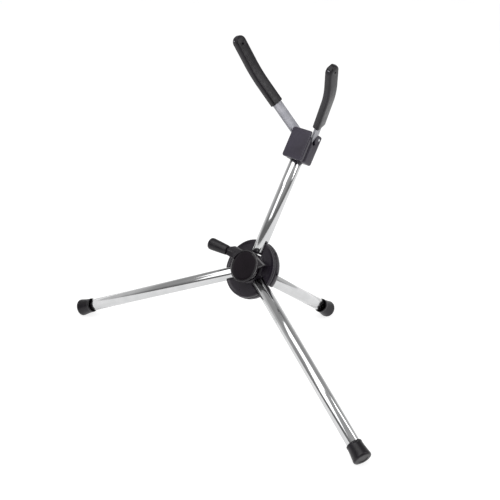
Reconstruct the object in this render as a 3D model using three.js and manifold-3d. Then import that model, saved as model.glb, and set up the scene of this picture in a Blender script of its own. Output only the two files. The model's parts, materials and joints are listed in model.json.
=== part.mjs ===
// Folding saxophone stand: a three-petal hub carries a post and two front legs that fold back on
// hinge pins, a fixed rear leg, a clamp knob with a side lever, and a two-armed yoke on the post.
// Millimetres, +Z up. X runs across the stand and -Y is the side where the instrument sits.
// The origin is on the floor, under the middle of the stand's bounding box.

import * as THREE from "three";
import { mergeVertices } from "three/addons/utils/BufferGeometryUtils.js";
import Module from "manifold-3d";

const wasm = await Module();
wasm.setup();

// ---- driving dimensions -------------------------------------------------------------------

const DEGREE = Math.PI / 180;
const GAP = 0.3; // clearance between neighbouring pieces

const LEAN_BACK = 34.3 * DEGREE; // post and front legs lie in one plane that leans back this much
const SPOKE_STEP = 120 * DEGREE; // angle between the post and each front leg
const REAR_SLOPE = 37.7 * DEGREE; // rear leg below the horizontal
const FRONT_LEG_LENGTH = 287; // hub centre to the end of the foot cap

const TUBE_RADIUS = 8;
const TUBE_BORE_RADIUS = 6.8;
const TUBE_START = 22.6; // where the tube begins, from the hub centre
const PLUG_RADIUS = TUBE_BORE_RADIUS - GAP;

const HINGE_DISTANCE = 29; // hinge pins from the hub centre
const HINGE_BEHIND = 4; // hinge pins behind the plane of the tube axes
const HINGE_PIN_RADIUS = 1.5;
const HINGE_PIN_HALF_LENGTH = 22;
const HINGE_HOLE_RADIUS = HINGE_PIN_RADIUS + GAP;

const FOOT_LENGTH = 21;
const FOOT_COLLAR_RADIUS = 9.4;
const FOOT_END_RADIUS = 11.2;
const FOOT_END_THICKNESS = 3.2;
const FOOT_FLAT = 0.9; // depth of the flat that the floor presses into each foot

const HUB_RADIUS = 37.4;
const REAR_SHELL_RADIUS = 38;
const HUB_FRONT = -3; // local Y of the petals' front ridge
const SHELL_SPLIT = 1.2; // local Y of the joint between the two shells
const HUB_BACK = 13;
const SLOT_WIDTH = 17;
const SLOT_START = 19;
const SOCKET_RADIUS = 11.5;
const SOCKET_END = 33;

const BOLT_RADIUS = 4;
const BOLT_HEAD_RADIUS = 7.2;
const BOLT_SEAT = 5.5; // local Y of the bottom of the leg socket, which the bolt head bears on
const BOLT_HEAD_FRONT = BOLT_SEAT + 0.8;
const BOLT_HEAD_HEIGHT = 4;
const REAR_TUBE_START = 12.6;

const SCREW_RADIUS = 1.5;
const SCREW_HEAD_RADIUS = 3.2;
const SHELL_SCREW_DISTANCE = 28.5;
const SHELL_SCREW_TIP = -1.2; // local Y
const SHELL_SCREW_HEAD = 9.6;

const KNOB_RADIUS = 20.7;
const KNOB_BACK = 9; // distances of the knob's parts in front of the tube axes
const KNOB_FACE = 15.6;
const KNOB_CAP_RADIUS = 18.6;
const LEVER_OFFSET = 9.6; // the lever runs past the knob's axis at this height
const LEVER_RISE = 11.2 * DEGREE;

const BLOCK_BOTTOM = 145.7; // up the post from the hub centre
const BLOCK_WIDTH = 31.5;
const BLOCK_HEIGHT = 39.4;
const BLOCK_FRONT = 13.2;
const BLOCK_BACK = -11.2;
const CHEEK_BACK = 9.2;
const BLOCK_TOP = BLOCK_BOTTOM + BLOCK_HEIGHT;
const SOCKET_DEPTH = 14; // how far the post enters the block

const YOKE_LEAN = 55 * DEGREE; // yoke plane forward of the post
const YOKE_PIVOT_UP = 180;
const YOKE_PIVOT_FRONT = -6.8;
const YOKE_PIN_RADIUS = 2;
const EAR_RADIUS = 4.2;
const STRIP_THICKNESS = 3;
const STRIP_WIDTH = 13.7;
const STRIP_MIDDLE = 5.7; // middle of the strip in front of the pivot, square to the yoke plane
const TAB_HALF_SPAN = 10.4; // middle of each upright tab from the centre
const TAB_INSIDE = TAB_HALF_SPAN - STRIP_THICKNESS / 2;
const TAB_TOP = 1.4;
const TAB_BOTTOM = -2.5;
const LOWER_SPREAD = 30.3 * DEGREE;
const UPPER_SPREAD = 18 * DEGREE;
const LOWER_LENGTH = 97; // along the arm, from the tab's top to the corner of the bend
const UPPER_LENGTH = { left: 50, right: 41 };
const BEND_RADIUS = 140;

const SLEEVE_WIDTH = 16.2;
const SLEEVE_THICKNESS = 9.3;
const SLEEVE_START = { left: 52.7, right: 34 }; // bare metal below each sleeve, along the arm
const SLEEVE_TIP = 3;

const ROUND = 24; // facets round a tube

// ---- materials ----------------------------------------------------------------------------

const finish = (color, roughness, metalness) =>
  new THREE.MeshStandardMaterial({ color, roughness, metalness });

const chrome = finish(0xd8d9db, 0.12, 1);
const steel = finish(0xa9abb0, 0.35, 1);
const stripMetal = finish(0x9a9aa3, 0.4, 0.9);
const blackPlastic = finish(0x29262b, 0.42, 0);
const blockPlastic = finish(0x37343d, 0.4, 0);
const glossBlack = finish(0x17141a, 0.12, 0);
const rubber = finish(0x1c1b1e, 0.65, 0);
const brass = finish(0xb5995a, 0.35, 1);

// ---- solids -------------------------------------------------------------------------------

function toSolid(geometry) {
  const bare = geometry.index ? geometry.toNonIndexed() : geometry.clone();
  bare.deleteAttribute("normal");
  bare.deleteAttribute("uv");
  const merged = mergeVertices(bare, 1e-4);
  const triVerts = Uint32Array.from(merged.index.array);
  const vertProperties = Float32Array.from(merged.attributes.position.array);
  return new wasm.Manifold(new wasm.Mesh({ numProp: 3, vertProperties, triVerts }));
}

function toGeometry(solid) {
  const mesh = solid.getMesh();
  const geometry = new THREE.BufferGeometry();
  geometry.setAttribute("position", new THREE.BufferAttribute(mesh.vertProperties, 3));
  geometry.setIndex(new THREE.BufferAttribute(mesh.triVerts, 1));
  geometry.computeVertexNormals();
  return geometry;
}

const cut = (geometry, ...tools) =>
  toGeometry(tools.reduce((solid, tool) => solid.subtract(toSolid(tool)), toSolid(geometry)));

const join = (...geometries) =>
  toGeometry(geometries.map(toSolid).reduce((whole, piece) => whole.add(piece)));

const common = (first, second) => toGeometry(toSolid(first).intersect(toSolid(second)));

// A turned solid round the Z axis from a profile of [radius, height] points that runs up in
// height on the outside and closes on the axis or on itself.
function turned(profile, segments = ROUND) {
  const points = profile.map(([radius, height]) => new THREE.Vector2(radius, height));
  const geometry = new THREE.LatheGeometry(points, segments);
  return geometry.rotateX(Math.PI / 2);
}

// The same round the Y axis, with heights measured towards the front of the stand (-Y).
const turnedFront = (profile, segments = ROUND) =>
  turned(profile, segments).rotateX(Math.PI / 2);

// A round rod from one point to another.
function rod(radius, from, to, segments = ROUND) {
  const start = new THREE.Vector3(...from);
  const along = new THREE.Vector3(...to).sub(start);
  const turn = new THREE.Quaternion().setFromUnitVectors(
    new THREE.Vector3(0, 1, 0),
    along.clone().normalize(),
  );
  const middle = start.addScaledVector(along, 0.5);
  const geometry = new THREE.CylinderGeometry(radius, radius, along.length(), segments);
  return geometry.applyQuaternion(turn).translate(...middle.toArray());
}

// A box given by its low and high corners.
function block(low, high) {
  const size = high.map((value, axis) => value - low[axis]);
  const middle = high.map((value, axis) => (value + low[axis]) / 2);
  return new THREE.BoxGeometry(...size).translate(...middle);
}

function outline(points) {
  const shape = new THREE.Shape();
  points.forEach(([a, b], index) => (index ? shape.lineTo(a, b) : shape.moveTo(a, b)));
  shape.closePath();
  return shape;
}

// A side outline of [forward, up] points, extruded across the stand from a low to a high place.
function acrossStand(shape, low, high, options = {}) {
  const inset = options.bevelThickness ?? 0;
  const geometry = new THREE.ExtrudeGeometry(shape, {
    depth: high - low - 2 * inset,
    bevelEnabled: false,
    curveSegments: 12,
    ...options,
  });
  const sideways = new THREE.Matrix4().makeBasis(
    new THREE.Vector3(0, -1, 0),
    new THREE.Vector3(0, 0, 1),
    new THREE.Vector3(-1, 0, 0),
  );
  return geometry.applyMatrix4(sideways).translate(high - inset, 0, 0);
}

// A front outline of [across, up] points, extruded through the depth from back to front.
function throughDepth(shape, back, front, options = {}) {
  const inset = options.bevelThickness ?? 0;
  const geometry = new THREE.ExtrudeGeometry(shape, {
    depth: front - back - 2 * inset,
    bevelEnabled: false,
    curveSegments: 4,
    ...options,
  });
  return geometry.rotateX(Math.PI / 2).translate(0, -back - inset, 0);
}

function roundedRectangle(left, bottom, right, top, radius) {
  const shape = new THREE.Shape();
  shape.moveTo(left + radius, bottom);
  shape.lineTo(right - radius, bottom);
  shape.absarc(right - radius, bottom + radius, radius, -Math.PI / 2, 0);
  shape.lineTo(right, top - radius);
  shape.absarc(right - radius, top - radius, radius, 0, Math.PI / 2);
  shape.lineTo(left + radius, top);
  shape.absarc(left + radius, top - radius, radius, Math.PI / 2, Math.PI);
  shape.lineTo(left, bottom + radius);
  shape.absarc(left + radius, bottom + radius, radius, Math.PI, 1.5 * Math.PI);
  return shape;
}

function addPart(group, name, geometry, material) {
  const mesh = new THREE.Mesh(geometry, material);
  mesh.name = name;
  group.add(mesh);
  return mesh;
}

// ---- tubes, knuckles and feet: each runs along +Z from the hub centre ------------------------

const hingeHole = () =>
  rod(
    HINGE_HOLE_RADIUS,
    [-2 * TUBE_RADIUS, HINGE_BEHIND, HINGE_DISTANCE],
    [2 * TUBE_RADIUS, HINGE_BEHIND, HINGE_DISTANCE],
    16,
  );

function tube(start, end) {
  return turned([
    [TUBE_BORE_RADIUS, start],
    [TUBE_RADIUS, start],
    [TUBE_RADIUS, end],
    [TUBE_BORE_RADIUS, end],
    [TUBE_BORE_RADIUS, start],
  ]);
}

// Plastic plug in the hub end of a hinged tube: a nose that shows, and a shank inside the tube.
function knuckle() {
  const noseStart = 20.2;
  const noseEnd = TUBE_START - GAP;
  const noseChamfer = 1.2;
  const shankEnd = 48;
  const plug = turned([
    [0, noseStart],
    [TUBE_RADIUS - noseChamfer, noseStart],
    [TUBE_RADIUS, noseStart + noseChamfer],
    [TUBE_RADIUS, noseEnd],
    [PLUG_RADIUS, noseEnd],
    [PLUG_RADIUS, shankEnd],
    [0, shankEnd],
  ]);
  return cut(plug, hingeHole());
}

function hingePin() {
  const at = (x) => [x, HINGE_BEHIND, HINGE_DISTANCE];
  return rod(HINGE_PIN_RADIUS, at(-HINGE_PIN_HALF_LENGTH), at(HINGE_PIN_HALF_LENGTH), 16);
}

// Profile of a foot cap with its end at height 0: a bore, a flared skirt and a rounded end.
function footProfile() {
  const rim = 2.4;
  const bore = TUBE_RADIUS + GAP;
  return [
    [0, -FOOT_END_THICKNESS],
    [bore, -FOOT_END_THICKNESS],
    [bore, -FOOT_LENGTH],
    [FOOT_COLLAR_RADIUS, -FOOT_LENGTH],
    [FOOT_END_RADIUS - 0.15, -1.6 * rim],
    [FOOT_END_RADIUS, -rim],
    [FOOT_END_RADIUS - 0.3 * rim, -0.3 * rim],
    [FOOT_END_RADIUS - rim, 0],
    [0, 0],
  ];
}

const footCap = (legLength) => turned(footProfile()).translate(0, 0, legLength);

// ---- hub ----------------------------------------------------------------------------------

const spokeAngles = { post: 0, right: SPOKE_STEP, left: -SPOKE_STEP };

// The radial slots that the post and the front legs lie and swing in.
function spokeSlots() {
  const reach = 60;
  return Object.values(spokeAngles).map((angle) =>
    block([-SLOT_WIDTH / 2, -reach, SLOT_START], [SLOT_WIDTH / 2, reach, reach]).rotateY(angle),
  );
}

function frontShell() {
  const ridge = -HUB_FRONT;
  const dish = ridge - 1.1; // petals are dished inside their raised edge
  const boss = ridge + 1.4;
  const bossRadius = 18;
  const plate = turnedFront(
    [
      [BOLT_RADIUS + GAP, -SHELL_SPLIT],
      [HUB_RADIUS - 0.8, -SHELL_SPLIT],
      [HUB_RADIUS, -SHELL_SPLIT + 0.8],
      [HUB_RADIUS, ridge - 1.6],
      [HUB_RADIUS - 0.5, ridge - 0.5],
      [HUB_RADIUS - 1.6, ridge],
      [HUB_RADIUS - 2.8, ridge],
      [HUB_RADIUS - 4.2, dish],
      [bossRadius + 1.5, dish],
      [bossRadius, boss],
      [BOLT_RADIUS + GAP, boss],
      [BOLT_RADIUS + GAP, -SHELL_SPLIT],
    ],
    48,
  );
  return cut(plate, ...spokeSlots(), ...shellScrewPlaces(screwPilot));
}

// Local frame of the rear leg: +Z runs down the leg from the hub centre.
const rearLegTurn = -Math.PI / 2 - (REAR_SLOPE - LEAN_BACK);

function rearShell() {
  const front = -(SHELL_SPLIT + GAP);
  const body = turnedFront(
    [
      [0, -HUB_BACK],
      [REAR_SHELL_RADIUS - 7, -HUB_BACK],
      [REAR_SHELL_RADIUS - 2.6, -HUB_BACK + 1.6],
      [REAR_SHELL_RADIUS - 0.6, -HUB_BACK + 4.4],
      [REAR_SHELL_RADIUS, -HUB_BACK + 7],
      [REAR_SHELL_RADIUS, front - 0.8],
      [REAR_SHELL_RADIUS - 0.8, front],
      [0, front],
    ],
    48,
  );
  const socket = rod(SOCKET_RADIUS, [0, 0, 8], [0, 0, SOCKET_END]).rotateX(rearLegTurn);
  const bore = rod(TUBE_RADIUS + GAP, [0, 0, BOLT_SEAT], [0, 0, 60]).rotateX(rearLegTurn);
  const boltHole = rod(BOLT_RADIUS + GAP, [0, -10, 0], [0, 20, 0], 24);
  const pinHoles = Object.values(spokeAngles).map((angle) => {
    const hole = rod(
      HINGE_HOLE_RADIUS,
      [-2 * HUB_RADIUS, HINGE_BEHIND, HINGE_DISTANCE],
      [2 * HUB_RADIUS, HINGE_BEHIND, HINGE_DISTANCE],
      16,
    );
    return hole.rotateY(angle);
  });
  const screwHole = rearScrewRod(SCREW_RADIUS + GAP, TUBE_RADIUS - 2, SOCKET_RADIUS + 2);
  return cut(
    cut(join(body, socket), bore, boltHole, screwHole),
    ...spokeSlots(),
    ...pinHoles,
    ...shellScrewPlaces(shellScrewRecess),
  );
}

// Three screws from the back, one in the middle of each petal.
const petalAngles = { right: 60 * DEGREE, left: -60 * DEGREE, lower: 180 * DEGREE };

const shellScrewPlaces = (make) =>
  Object.values(petalAngles).map((angle) => make().rotateY(angle));

const screwPilot = () =>
  rod(
    SCREW_RADIUS + GAP,
    [0, SHELL_SCREW_TIP - GAP, SHELL_SCREW_DISTANCE],
    [0, HUB_BACK, SHELL_SCREW_DISTANCE],
    12,
  );

const shellScrewRecess = () =>
  join(
    screwPilot(),
    rod(
      SCREW_HEAD_RADIUS + GAP,
      [0, SHELL_SCREW_HEAD - GAP, SHELL_SCREW_DISTANCE],
      [0, HUB_BACK + 5, SHELL_SCREW_DISTANCE],
      20,
    ),
  );

// A pan-head screw along +Z with its tip at 0.
function screw(length, radius, headRadius, headHeight) {
  return turned(
    [
      [0, 0],
      [radius * 0.6, 0],
      [radius, 1],
      [radius, length],
      [headRadius, length],
      [headRadius, length + headHeight * 0.6],
      [headRadius * 0.7, length + headHeight],
      [0, length + headHeight],
    ],
    12,
  );
}

function shellScrew() {
  const length = SHELL_SCREW_HEAD - SHELL_SCREW_TIP;
  const piece = screw(length, SCREW_RADIUS, SCREW_HEAD_RADIUS, 2.2);
  return piece.rotateX(-Math.PI / 2).translate(0, SHELL_SCREW_TIP, SHELL_SCREW_DISTANCE);
}

// Hexagon-head bolt from the back of the hub to the knob.
function centreBolt() {
  const headBack = BOLT_HEAD_FRONT + BOLT_HEAD_HEIGHT;
  const head = rod(BOLT_HEAD_RADIUS, [0, BOLT_HEAD_FRONT, 0], [0, headBack, 0], 6);
  const shank = rod(BOLT_RADIUS, [0, BOLT_HEAD_FRONT + 1, 0], [0, -(KNOB_FACE - 3), 0], 24);
  return join(head, shank);
}

// ---- rear leg -----------------------------------------------------------------------------

// How far a foot reaches below the end of its axis, when the axis drops by the given sine.
const footDrop = (dropSine) => {
  const dropCosine = Math.sqrt(1 - dropSine ** 2);
  return Math.max(...footProfile().map(([radius, z]) => radius * dropCosine + z * dropSine));
};

const frontDropSine = -Math.cos(SPOKE_STEP) * Math.cos(LEAN_BACK);
const hubHeight = FRONT_LEG_LENGTH * frontDropSine + footDrop(frontDropSine) - FOOT_FLAT;
const rearDropSine = Math.sin(REAR_SLOPE);
const rearLegLength = (hubHeight + FOOT_FLAT - footDrop(rearDropSine)) / rearDropSine;

const REAR_SCREW_AT = 25;

const rearScrewRod = (radius, from, to) =>
  rod(radius, [0, -from, REAR_SCREW_AT], [0, -to, REAR_SCREW_AT], 16).rotateX(rearLegTurn);

function rearLegTube() {
  const hole = rod(
    SCREW_RADIUS + GAP,
    [0, 0, REAR_SCREW_AT],
    [0, -2 * TUBE_RADIUS, REAR_SCREW_AT],
    16,
  );
  return cut(tube(REAR_TUBE_START, rearLegLength - FOOT_END_THICKNESS - GAP), hole);
}

function rearLegPlug() {
  const plug = rod(PLUG_RADIUS, [0, 0, REAR_TUBE_START + 1], [0, 0, REAR_SCREW_AT + 9]);
  const pilot = rod(
    SCREW_RADIUS + GAP,
    [0, 0, REAR_SCREW_AT],
    [0, -2 * TUBE_RADIUS, REAR_SCREW_AT],
    16,
  );
  return cut(plug, pilot);
}

function rearLegScrew() {
  const tip = 0.5;
  const piece = screw(SOCKET_RADIUS + GAP - tip, SCREW_RADIUS, SCREW_HEAD_RADIUS, 2);
  return piece.translate(0, 0, tip).rotateX(Math.PI / 2).translate(0, 0, REAR_SCREW_AT);
}

// ---- clamp plate and knob: heights are in front of the tube axes -------------------------------

const PLATE_BACK = 4.8;
const PLATE_FRONT = 8.2;

// Tapered plate that the knob drives against the noses of the three knuckles.
function clampPlate() {
  const bore = BOLT_RADIUS + GAP;
  return turnedFront([
    [bore, PLATE_BACK],
    [17.2, PLATE_BACK],
    [18.8, PLATE_FRONT - 0.8],
    [18.8, PLATE_FRONT],
    [bore, PLATE_FRONT],
    [bore, PLATE_BACK],
  ]);
}

function knobWasher() {
  const bore = BOLT_RADIUS + GAP;
  const back = PLATE_FRONT + GAP;
  return turnedFront(
    [
      [bore, back],
      [9.5, back],
      [9.5, back + 1.1],
      [bore, back + 1.1],
      [bore, back],
    ],
    24,
  );
}

const NUT_RADIUS = 7.2;
const NUT_BACK = 10.2;
const NUT_FRONT = 13.4;

// Round knob with a lever arm on the left and a pointed lug on the right.
function knobBody() {
  const capSeat = KNOB_FACE - 1.8;
  const round = turnedFront(
    [
      [0, KNOB_BACK],
      [KNOB_RADIUS - 2.2, KNOB_BACK],
      [KNOB_RADIUS - 0.9, KNOB_BACK + 1.2],
      [KNOB_RADIUS, KNOB_FACE - 1],
      [KNOB_RADIUS - 0.5, KNOB_FACE],
      [KNOB_CAP_RADIUS + GAP, KNOB_FACE],
      [KNOB_CAP_RADIUS + GAP, capSeat],
      [0, capSeat],
    ],
    40,
  );
  const washerRoom = rod(9.9, [0, 0, 0], [0, -(PLATE_FRONT + 2 * GAP + 1.1), 0], 24);
  const nutRoom = rod(NUT_RADIUS + GAP, [0, 0, 0], [0, -(NUT_FRONT + GAP), 0], 6);
  const boltRoom = rod(BOLT_RADIUS + GAP, [0, 0, 0], [0, -(KNOB_FACE + 1), 0], 24);
  const whole = join(round, leverArm(), pointedLug());
  const capSpace = rod(KNOB_CAP_RADIUS + GAP, [0, -capSeat, 0], [0, -KNOB_FACE - 5, 0], 40);
  return cut(whole, capSpace, washerRoom, nutRoom, boltRoom);
}

// The lever's own frame: origin where it meets the knob, +Z out along the lever.
const LEVER_ROOT = new THREE.Vector3(-15, -12.2, LEVER_OFFSET);
const GRIP_START = 18;
const GRIP_END = 46;
const LEVER_CORE_RADIUS = 3.6;

const leverPlace = new THREE.Matrix4()
  .makeRotationY(-Math.PI / 2)
  .premultiply(new THREE.Matrix4().makeRotationZ(LEVER_RISE))
  .setPosition(LEVER_ROOT);

// Tapered neck with a core that the rubber grip is pushed on to.
function leverArm() {
  const side = outline([
    [-8, -4],
    [-6.2, GRIP_START - 4],
    [-5.4, GRIP_START - GAP],
    [5.4, GRIP_START - GAP],
    [6.4, GRIP_START - 4],
    [8.8, GRIP_START - 9],
    [8, -4],
  ]);
  const neck = new THREE.ExtrudeGeometry(side, {
    depth: 4.4,
    bevelEnabled: true,
    bevelThickness: 1.2,
    bevelSize: 1.2,
    bevelOffset: -1.2,
    bevelSegments: 1,
  });
  neck.rotateX(Math.PI / 2).translate(0, 2.2, 0);
  const core = rod(LEVER_CORE_RADIUS, [0, 0, 10], [0, 0, GRIP_END - 5], 20);
  return join(neck, core).applyMatrix4(leverPlace);
}

function leverGrip() {
  const bore = LEVER_CORE_RADIUS + GAP;
  const grip = turned(
    [
      [0, GRIP_END - 5 + GAP],
      [bore, GRIP_END - 5 + GAP],
      [bore, GRIP_START],
      [6, GRIP_START],
      [6.4, GRIP_START + 2],
      [7.5, GRIP_END - 8],
      [7.7, GRIP_END - 4],
      [7, GRIP_END - 1.6],
      [5, GRIP_END - 0.4],
      [0, GRIP_END],
    ],
    28,
  );
  return grip.applyMatrix4(leverPlace);
}

function pointedLug() {
  const lug = throughDepth(
    outline([
      [6, 19],
      [11.5, 17.6],
      [29, 11.1],
      [18.6, 2.6],
      [10, 2],
    ]),
    KNOB_BACK,
    KNOB_BACK + 4.6,
    { bevelEnabled: true, bevelThickness: 1.4, bevelSize: 1.6, bevelOffset: -1.6, bevelSegments: 1 },
  );
  return lug;
}

function knobCap() {
  const back = KNOB_FACE - 1.8 + GAP;
  return turnedFront(
    [
      [0, back],
      [KNOB_CAP_RADIUS, back],
      [KNOB_CAP_RADIUS, KNOB_FACE - 0.5],
      [KNOB_CAP_RADIUS - 0.6, KNOB_FACE - 0.2],
      [0, KNOB_FACE],
    ],
    40,
  );
}

function knobNut() {
  const nut = rod(NUT_RADIUS, [0, -NUT_BACK, 0], [0, -NUT_FRONT, 0], 6);
  return cut(nut, rod(BOLT_RADIUS + GAP, [0, 0, 0], [0, -20, 0], 24));
}

// ---- block on top of the post ------------------------------------------------------------------

const halfBlock = BLOCK_WIDTH / 2;
const WALL_INSIDE = 12.3; // inner face of each side wall
const PIVOT_BOSS_RADIUS = 8.6; // part of a side wall that carries the yoke pin
const YOKE_SWEEP_RADIUS = 13.6;
const ARM_SWEEP_RADIUS = 18.7;
const ABOVE_BLOCK = BLOCK_TOP + 5;

// [forward, up] of a point given in the resting yoke: square to its plane, then along it.
const fromYoke = (square, along) => [
  YOKE_PIVOT_FRONT + along * Math.sin(YOKE_LEAN) + square * Math.cos(YOKE_LEAN),
  YOKE_PIVOT_UP + along * Math.cos(YOKE_LEAN) - square * Math.sin(YOKE_LEAN),
];

// Side outline of the space that the arms leave the block through. It is open at the top, and
// its floor is the stop that the arms rest on.
function armNotch() {
  const shape = new THREE.Shape();
  const top = Math.asin((BLOCK_TOP - YOKE_PIVOT_UP) / PIVOT_BOSS_RADIUS);
  const bottom = -60 * DEGREE;
  const back = YOKE_PIVOT_FRONT + PIVOT_BOSS_RADIUS * Math.cos(top);
  const front = YOKE_PIVOT_FRONT + ARM_SWEEP_RADIUS;
  const floor = STRIP_MIDDLE + STRIP_WIDTH / 2 + GAP;
  const [floorFront] = fromYoke(floor, 0);
  const floorLength = (front - floorFront) / Math.sin(YOKE_LEAN);
  shape.moveTo(back, ABOVE_BLOCK);
  shape.lineTo(back, BLOCK_TOP);
  shape.absarc(YOKE_PIVOT_FRONT, YOKE_PIVOT_UP, PIVOT_BOSS_RADIUS, top, bottom, true);
  shape.lineTo(...fromYoke(floor, 0));
  shape.lineTo(...fromYoke(floor, floorLength));
  shape.lineTo(front, ABOVE_BLOCK);
  shape.closePath();
  return shape;
}

// Room inside the block for the yoke's tabs and bridge as they swing.
function yokeRoom() {
  const sector = new THREE.Shape();
  const behind = 2.2;
  const back = YOKE_PIVOT_FRONT - behind;
  const start = -(Math.PI / 2 + Math.asin(behind / YOKE_SWEEP_RADIUS));
  sector.moveTo(back, ABOVE_BLOCK);
  sector.lineTo(back, YOKE_PIVOT_UP);
  sector.absarc(YOKE_PIVOT_FRONT, YOKE_PIVOT_UP, YOKE_SWEEP_RADIUS, start, 0);
  sector.lineTo(YOKE_PIVOT_FRONT + YOKE_SWEEP_RADIUS, ABOVE_BLOCK);
  sector.closePath();
  const main = acrossStand(sector, -WALL_INSIDE, WALL_INSIDE);
  const earRoom = block(
    [-WALL_INSIDE, -YOKE_PIVOT_FRONT - 1, YOKE_PIVOT_UP - EAR_RADIUS - 2 * GAP],
    [WALL_INSIDE, 30, ABOVE_BLOCK],
  );
  return join(main, earRoom);
}

function blockBody() {
  const groove = 1.6;
  const grooveBack = 5.4;
  const corner = 1.6;
  const body = throughDepth(
    roundedRectangle(-halfBlock, BLOCK_BOTTOM, halfBlock, BLOCK_TOP, corner),
    BLOCK_BACK,
    grooveBack,
    { bevelEnabled: true, bevelThickness: 1, bevelSize: 1, bevelOffset: -1, bevelSegments: 1 },
  );
  const neck = throughDepth(
    roundedRectangle(
      -halfBlock + groove,
      BLOCK_BOTTOM + groove,
      halfBlock - groove,
      BLOCK_TOP - 0.2,
      corner,
    ),
    0,
    CHEEK_BACK - GAP,
  );
  const socket = rod(
    TUBE_RADIUS + GAP,
    [0, 0, BLOCK_BOTTOM - 5],
    [0, 0, BLOCK_BOTTOM + SOCKET_DEPTH + GAP],
  );
  return cut(
    join(body, neck),
    socket,
    yokeRoom(),
    acrossStand(armNotch(), -30, 30),
    yokePinRod(YOKE_PIN_RADIUS + GAP, 30),
    blockScrewRecess(),
    ...cheekScrewPlaces.map(cheekScrewRecess),
  );
}

function frontCheek() {
  const plate = throughDepth(
    roundedRectangle(-halfBlock, BLOCK_BOTTOM, halfBlock, BLOCK_TOP, 1.8),
    CHEEK_BACK,
    BLOCK_FRONT,
    { bevelEnabled: true, bevelThickness: 0.9, bevelSize: 0.9, bevelOffset: -0.9, bevelSegments: 2 },
  );
  const reliefs = [-1, 1].map((side) => {
    const inner = 9;
    const edges = [side * inner, side * 30];
    return acrossStand(armNotch(), Math.min(...edges), Math.max(...edges));
  });
  return cut(plate, ...reliefs, ...cheekScrewPlaces.map(cheekScrewHole));
}

const yokePinRod = (radius, half) =>
  rod(
    radius,
    [-half, -YOKE_PIVOT_FRONT, YOKE_PIVOT_UP],
    [half, -YOKE_PIVOT_FRONT, YOKE_PIVOT_UP],
    20,
  );

const BLOCK_SCREW_UP = BLOCK_BOTTOM + 7.5;
const CHEEK_SCREW_RADIUS = 1.1;
const CHEEK_SCREW_HEAD_RADIUS = 2;
const CHEEK_SCREW_TIP = -10.6; // local Y
const CHEEK_SCREW_HEAD = 9;
const cheekScrewPlaces = [-12.4, 12.4];
const CHEEK_SCREW_UP = BLOCK_BOTTOM + 6;

const cheekScrewHole = (x) =>
  rod(
    CHEEK_SCREW_RADIUS + GAP,
    [x, CHEEK_SCREW_TIP - GAP, CHEEK_SCREW_UP],
    [x, 20, CHEEK_SCREW_UP],
    12,
  );

const cheekScrewRecess = (x) =>
  join(
    cheekScrewHole(x),
    rod(
      CHEEK_SCREW_HEAD_RADIUS + GAP,
      [x, CHEEK_SCREW_HEAD - GAP, CHEEK_SCREW_UP],
      [x, 20, CHEEK_SCREW_UP],
      16,
    ),
  );

const blockScrewRecess = () =>
  join(
    rod(SCREW_RADIUS + GAP, [0, 0, BLOCK_SCREW_UP], [0, 20, BLOCK_SCREW_UP], 16),
    rod(SCREW_HEAD_RADIUS + GAP, [0, 9.3, BLOCK_SCREW_UP], [0, 20, BLOCK_SCREW_UP], 20),
  );

function cheekScrew() {
  const length = CHEEK_SCREW_HEAD - CHEEK_SCREW_TIP;
  const piece = screw(length, CHEEK_SCREW_RADIUS, CHEEK_SCREW_HEAD_RADIUS, 1.6);
  return piece.rotateX(-Math.PI / 2).translate(0, CHEEK_SCREW_TIP, CHEEK_SCREW_UP);
}

function blockScrew() {
  const tip = 1;
  const piece = screw(9.6 - tip, SCREW_RADIUS, SCREW_HEAD_RADIUS, 1.5);
  return piece.rotateX(-Math.PI / 2).translate(0, tip, BLOCK_SCREW_UP);
}

const blockScrewPilot = () =>
  rod(SCREW_RADIUS + GAP, [0, 0, BLOCK_SCREW_UP], [0, 20, BLOCK_SCREW_UP], 16);

function postTube() {
  const end = BLOCK_BOTTOM + SOCKET_DEPTH;
  return cut(tube(TUBE_START, end), hingeHole(), blockScrewPilot());
}

function postPlug() {
  const top = BLOCK_BOTTOM + SOCKET_DEPTH - 0.5;
  return cut(rod(PLUG_RADIUS, [0, 0, BLOCK_BOTTOM - 4], [0, 0, top]), blockScrewPilot());
}

// ---- yoke: origin on its pivot, +Z out along the yoke, -Y square to it -------------------------------

// Middle line of the right arm as [across, along] points, from the tab's foot to a given length.
function armLine(from, to) {
  const halfTurn = (LOWER_SPREAD - UPPER_SPREAD) / 2;
  const tangent = BEND_RADIUS * Math.tan(halfTurn);
  const arcStart = LOWER_LENGTH - tangent;
  const arcLength = BEND_RADIUS * 2 * halfTurn;
  const step = (point, angle, length) => [
    point[0] + length * Math.sin(angle),
    point[1] + length * Math.cos(angle),
  ];
  const place = (length) => {
    const root = [TAB_HALF_SPAN, TAB_TOP];
    const straight = step(root, LOWER_SPREAD, Math.min(length, arcStart));
    if (length <= arcStart) return straight;
    const turn = Math.min(length - arcStart, arcLength) / BEND_RADIUS;
    const chord = 2 * BEND_RADIUS * Math.sin(turn / 2);
    const bent = step(straight, LOWER_SPREAD - turn / 2, chord);
    return step(bent, UPPER_SPREAD, Math.max(0, length - arcStart - arcLength));
  };
  const bends = [0, 0.25, 0.5, 0.75, 1].map((part) => arcStart + part * arcLength);
  const inside = bends.filter((length) => length > from && length < to);
  return [from, ...inside, to].map(place);
}

const armLength = (side) =>
  LOWER_LENGTH +
  UPPER_LENGTH[side] -
  BEND_RADIUS *
    (2 * Math.tan((LOWER_SPREAD - UPPER_SPREAD) / 2) - (LOWER_SPREAD - UPPER_SPREAD));

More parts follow.
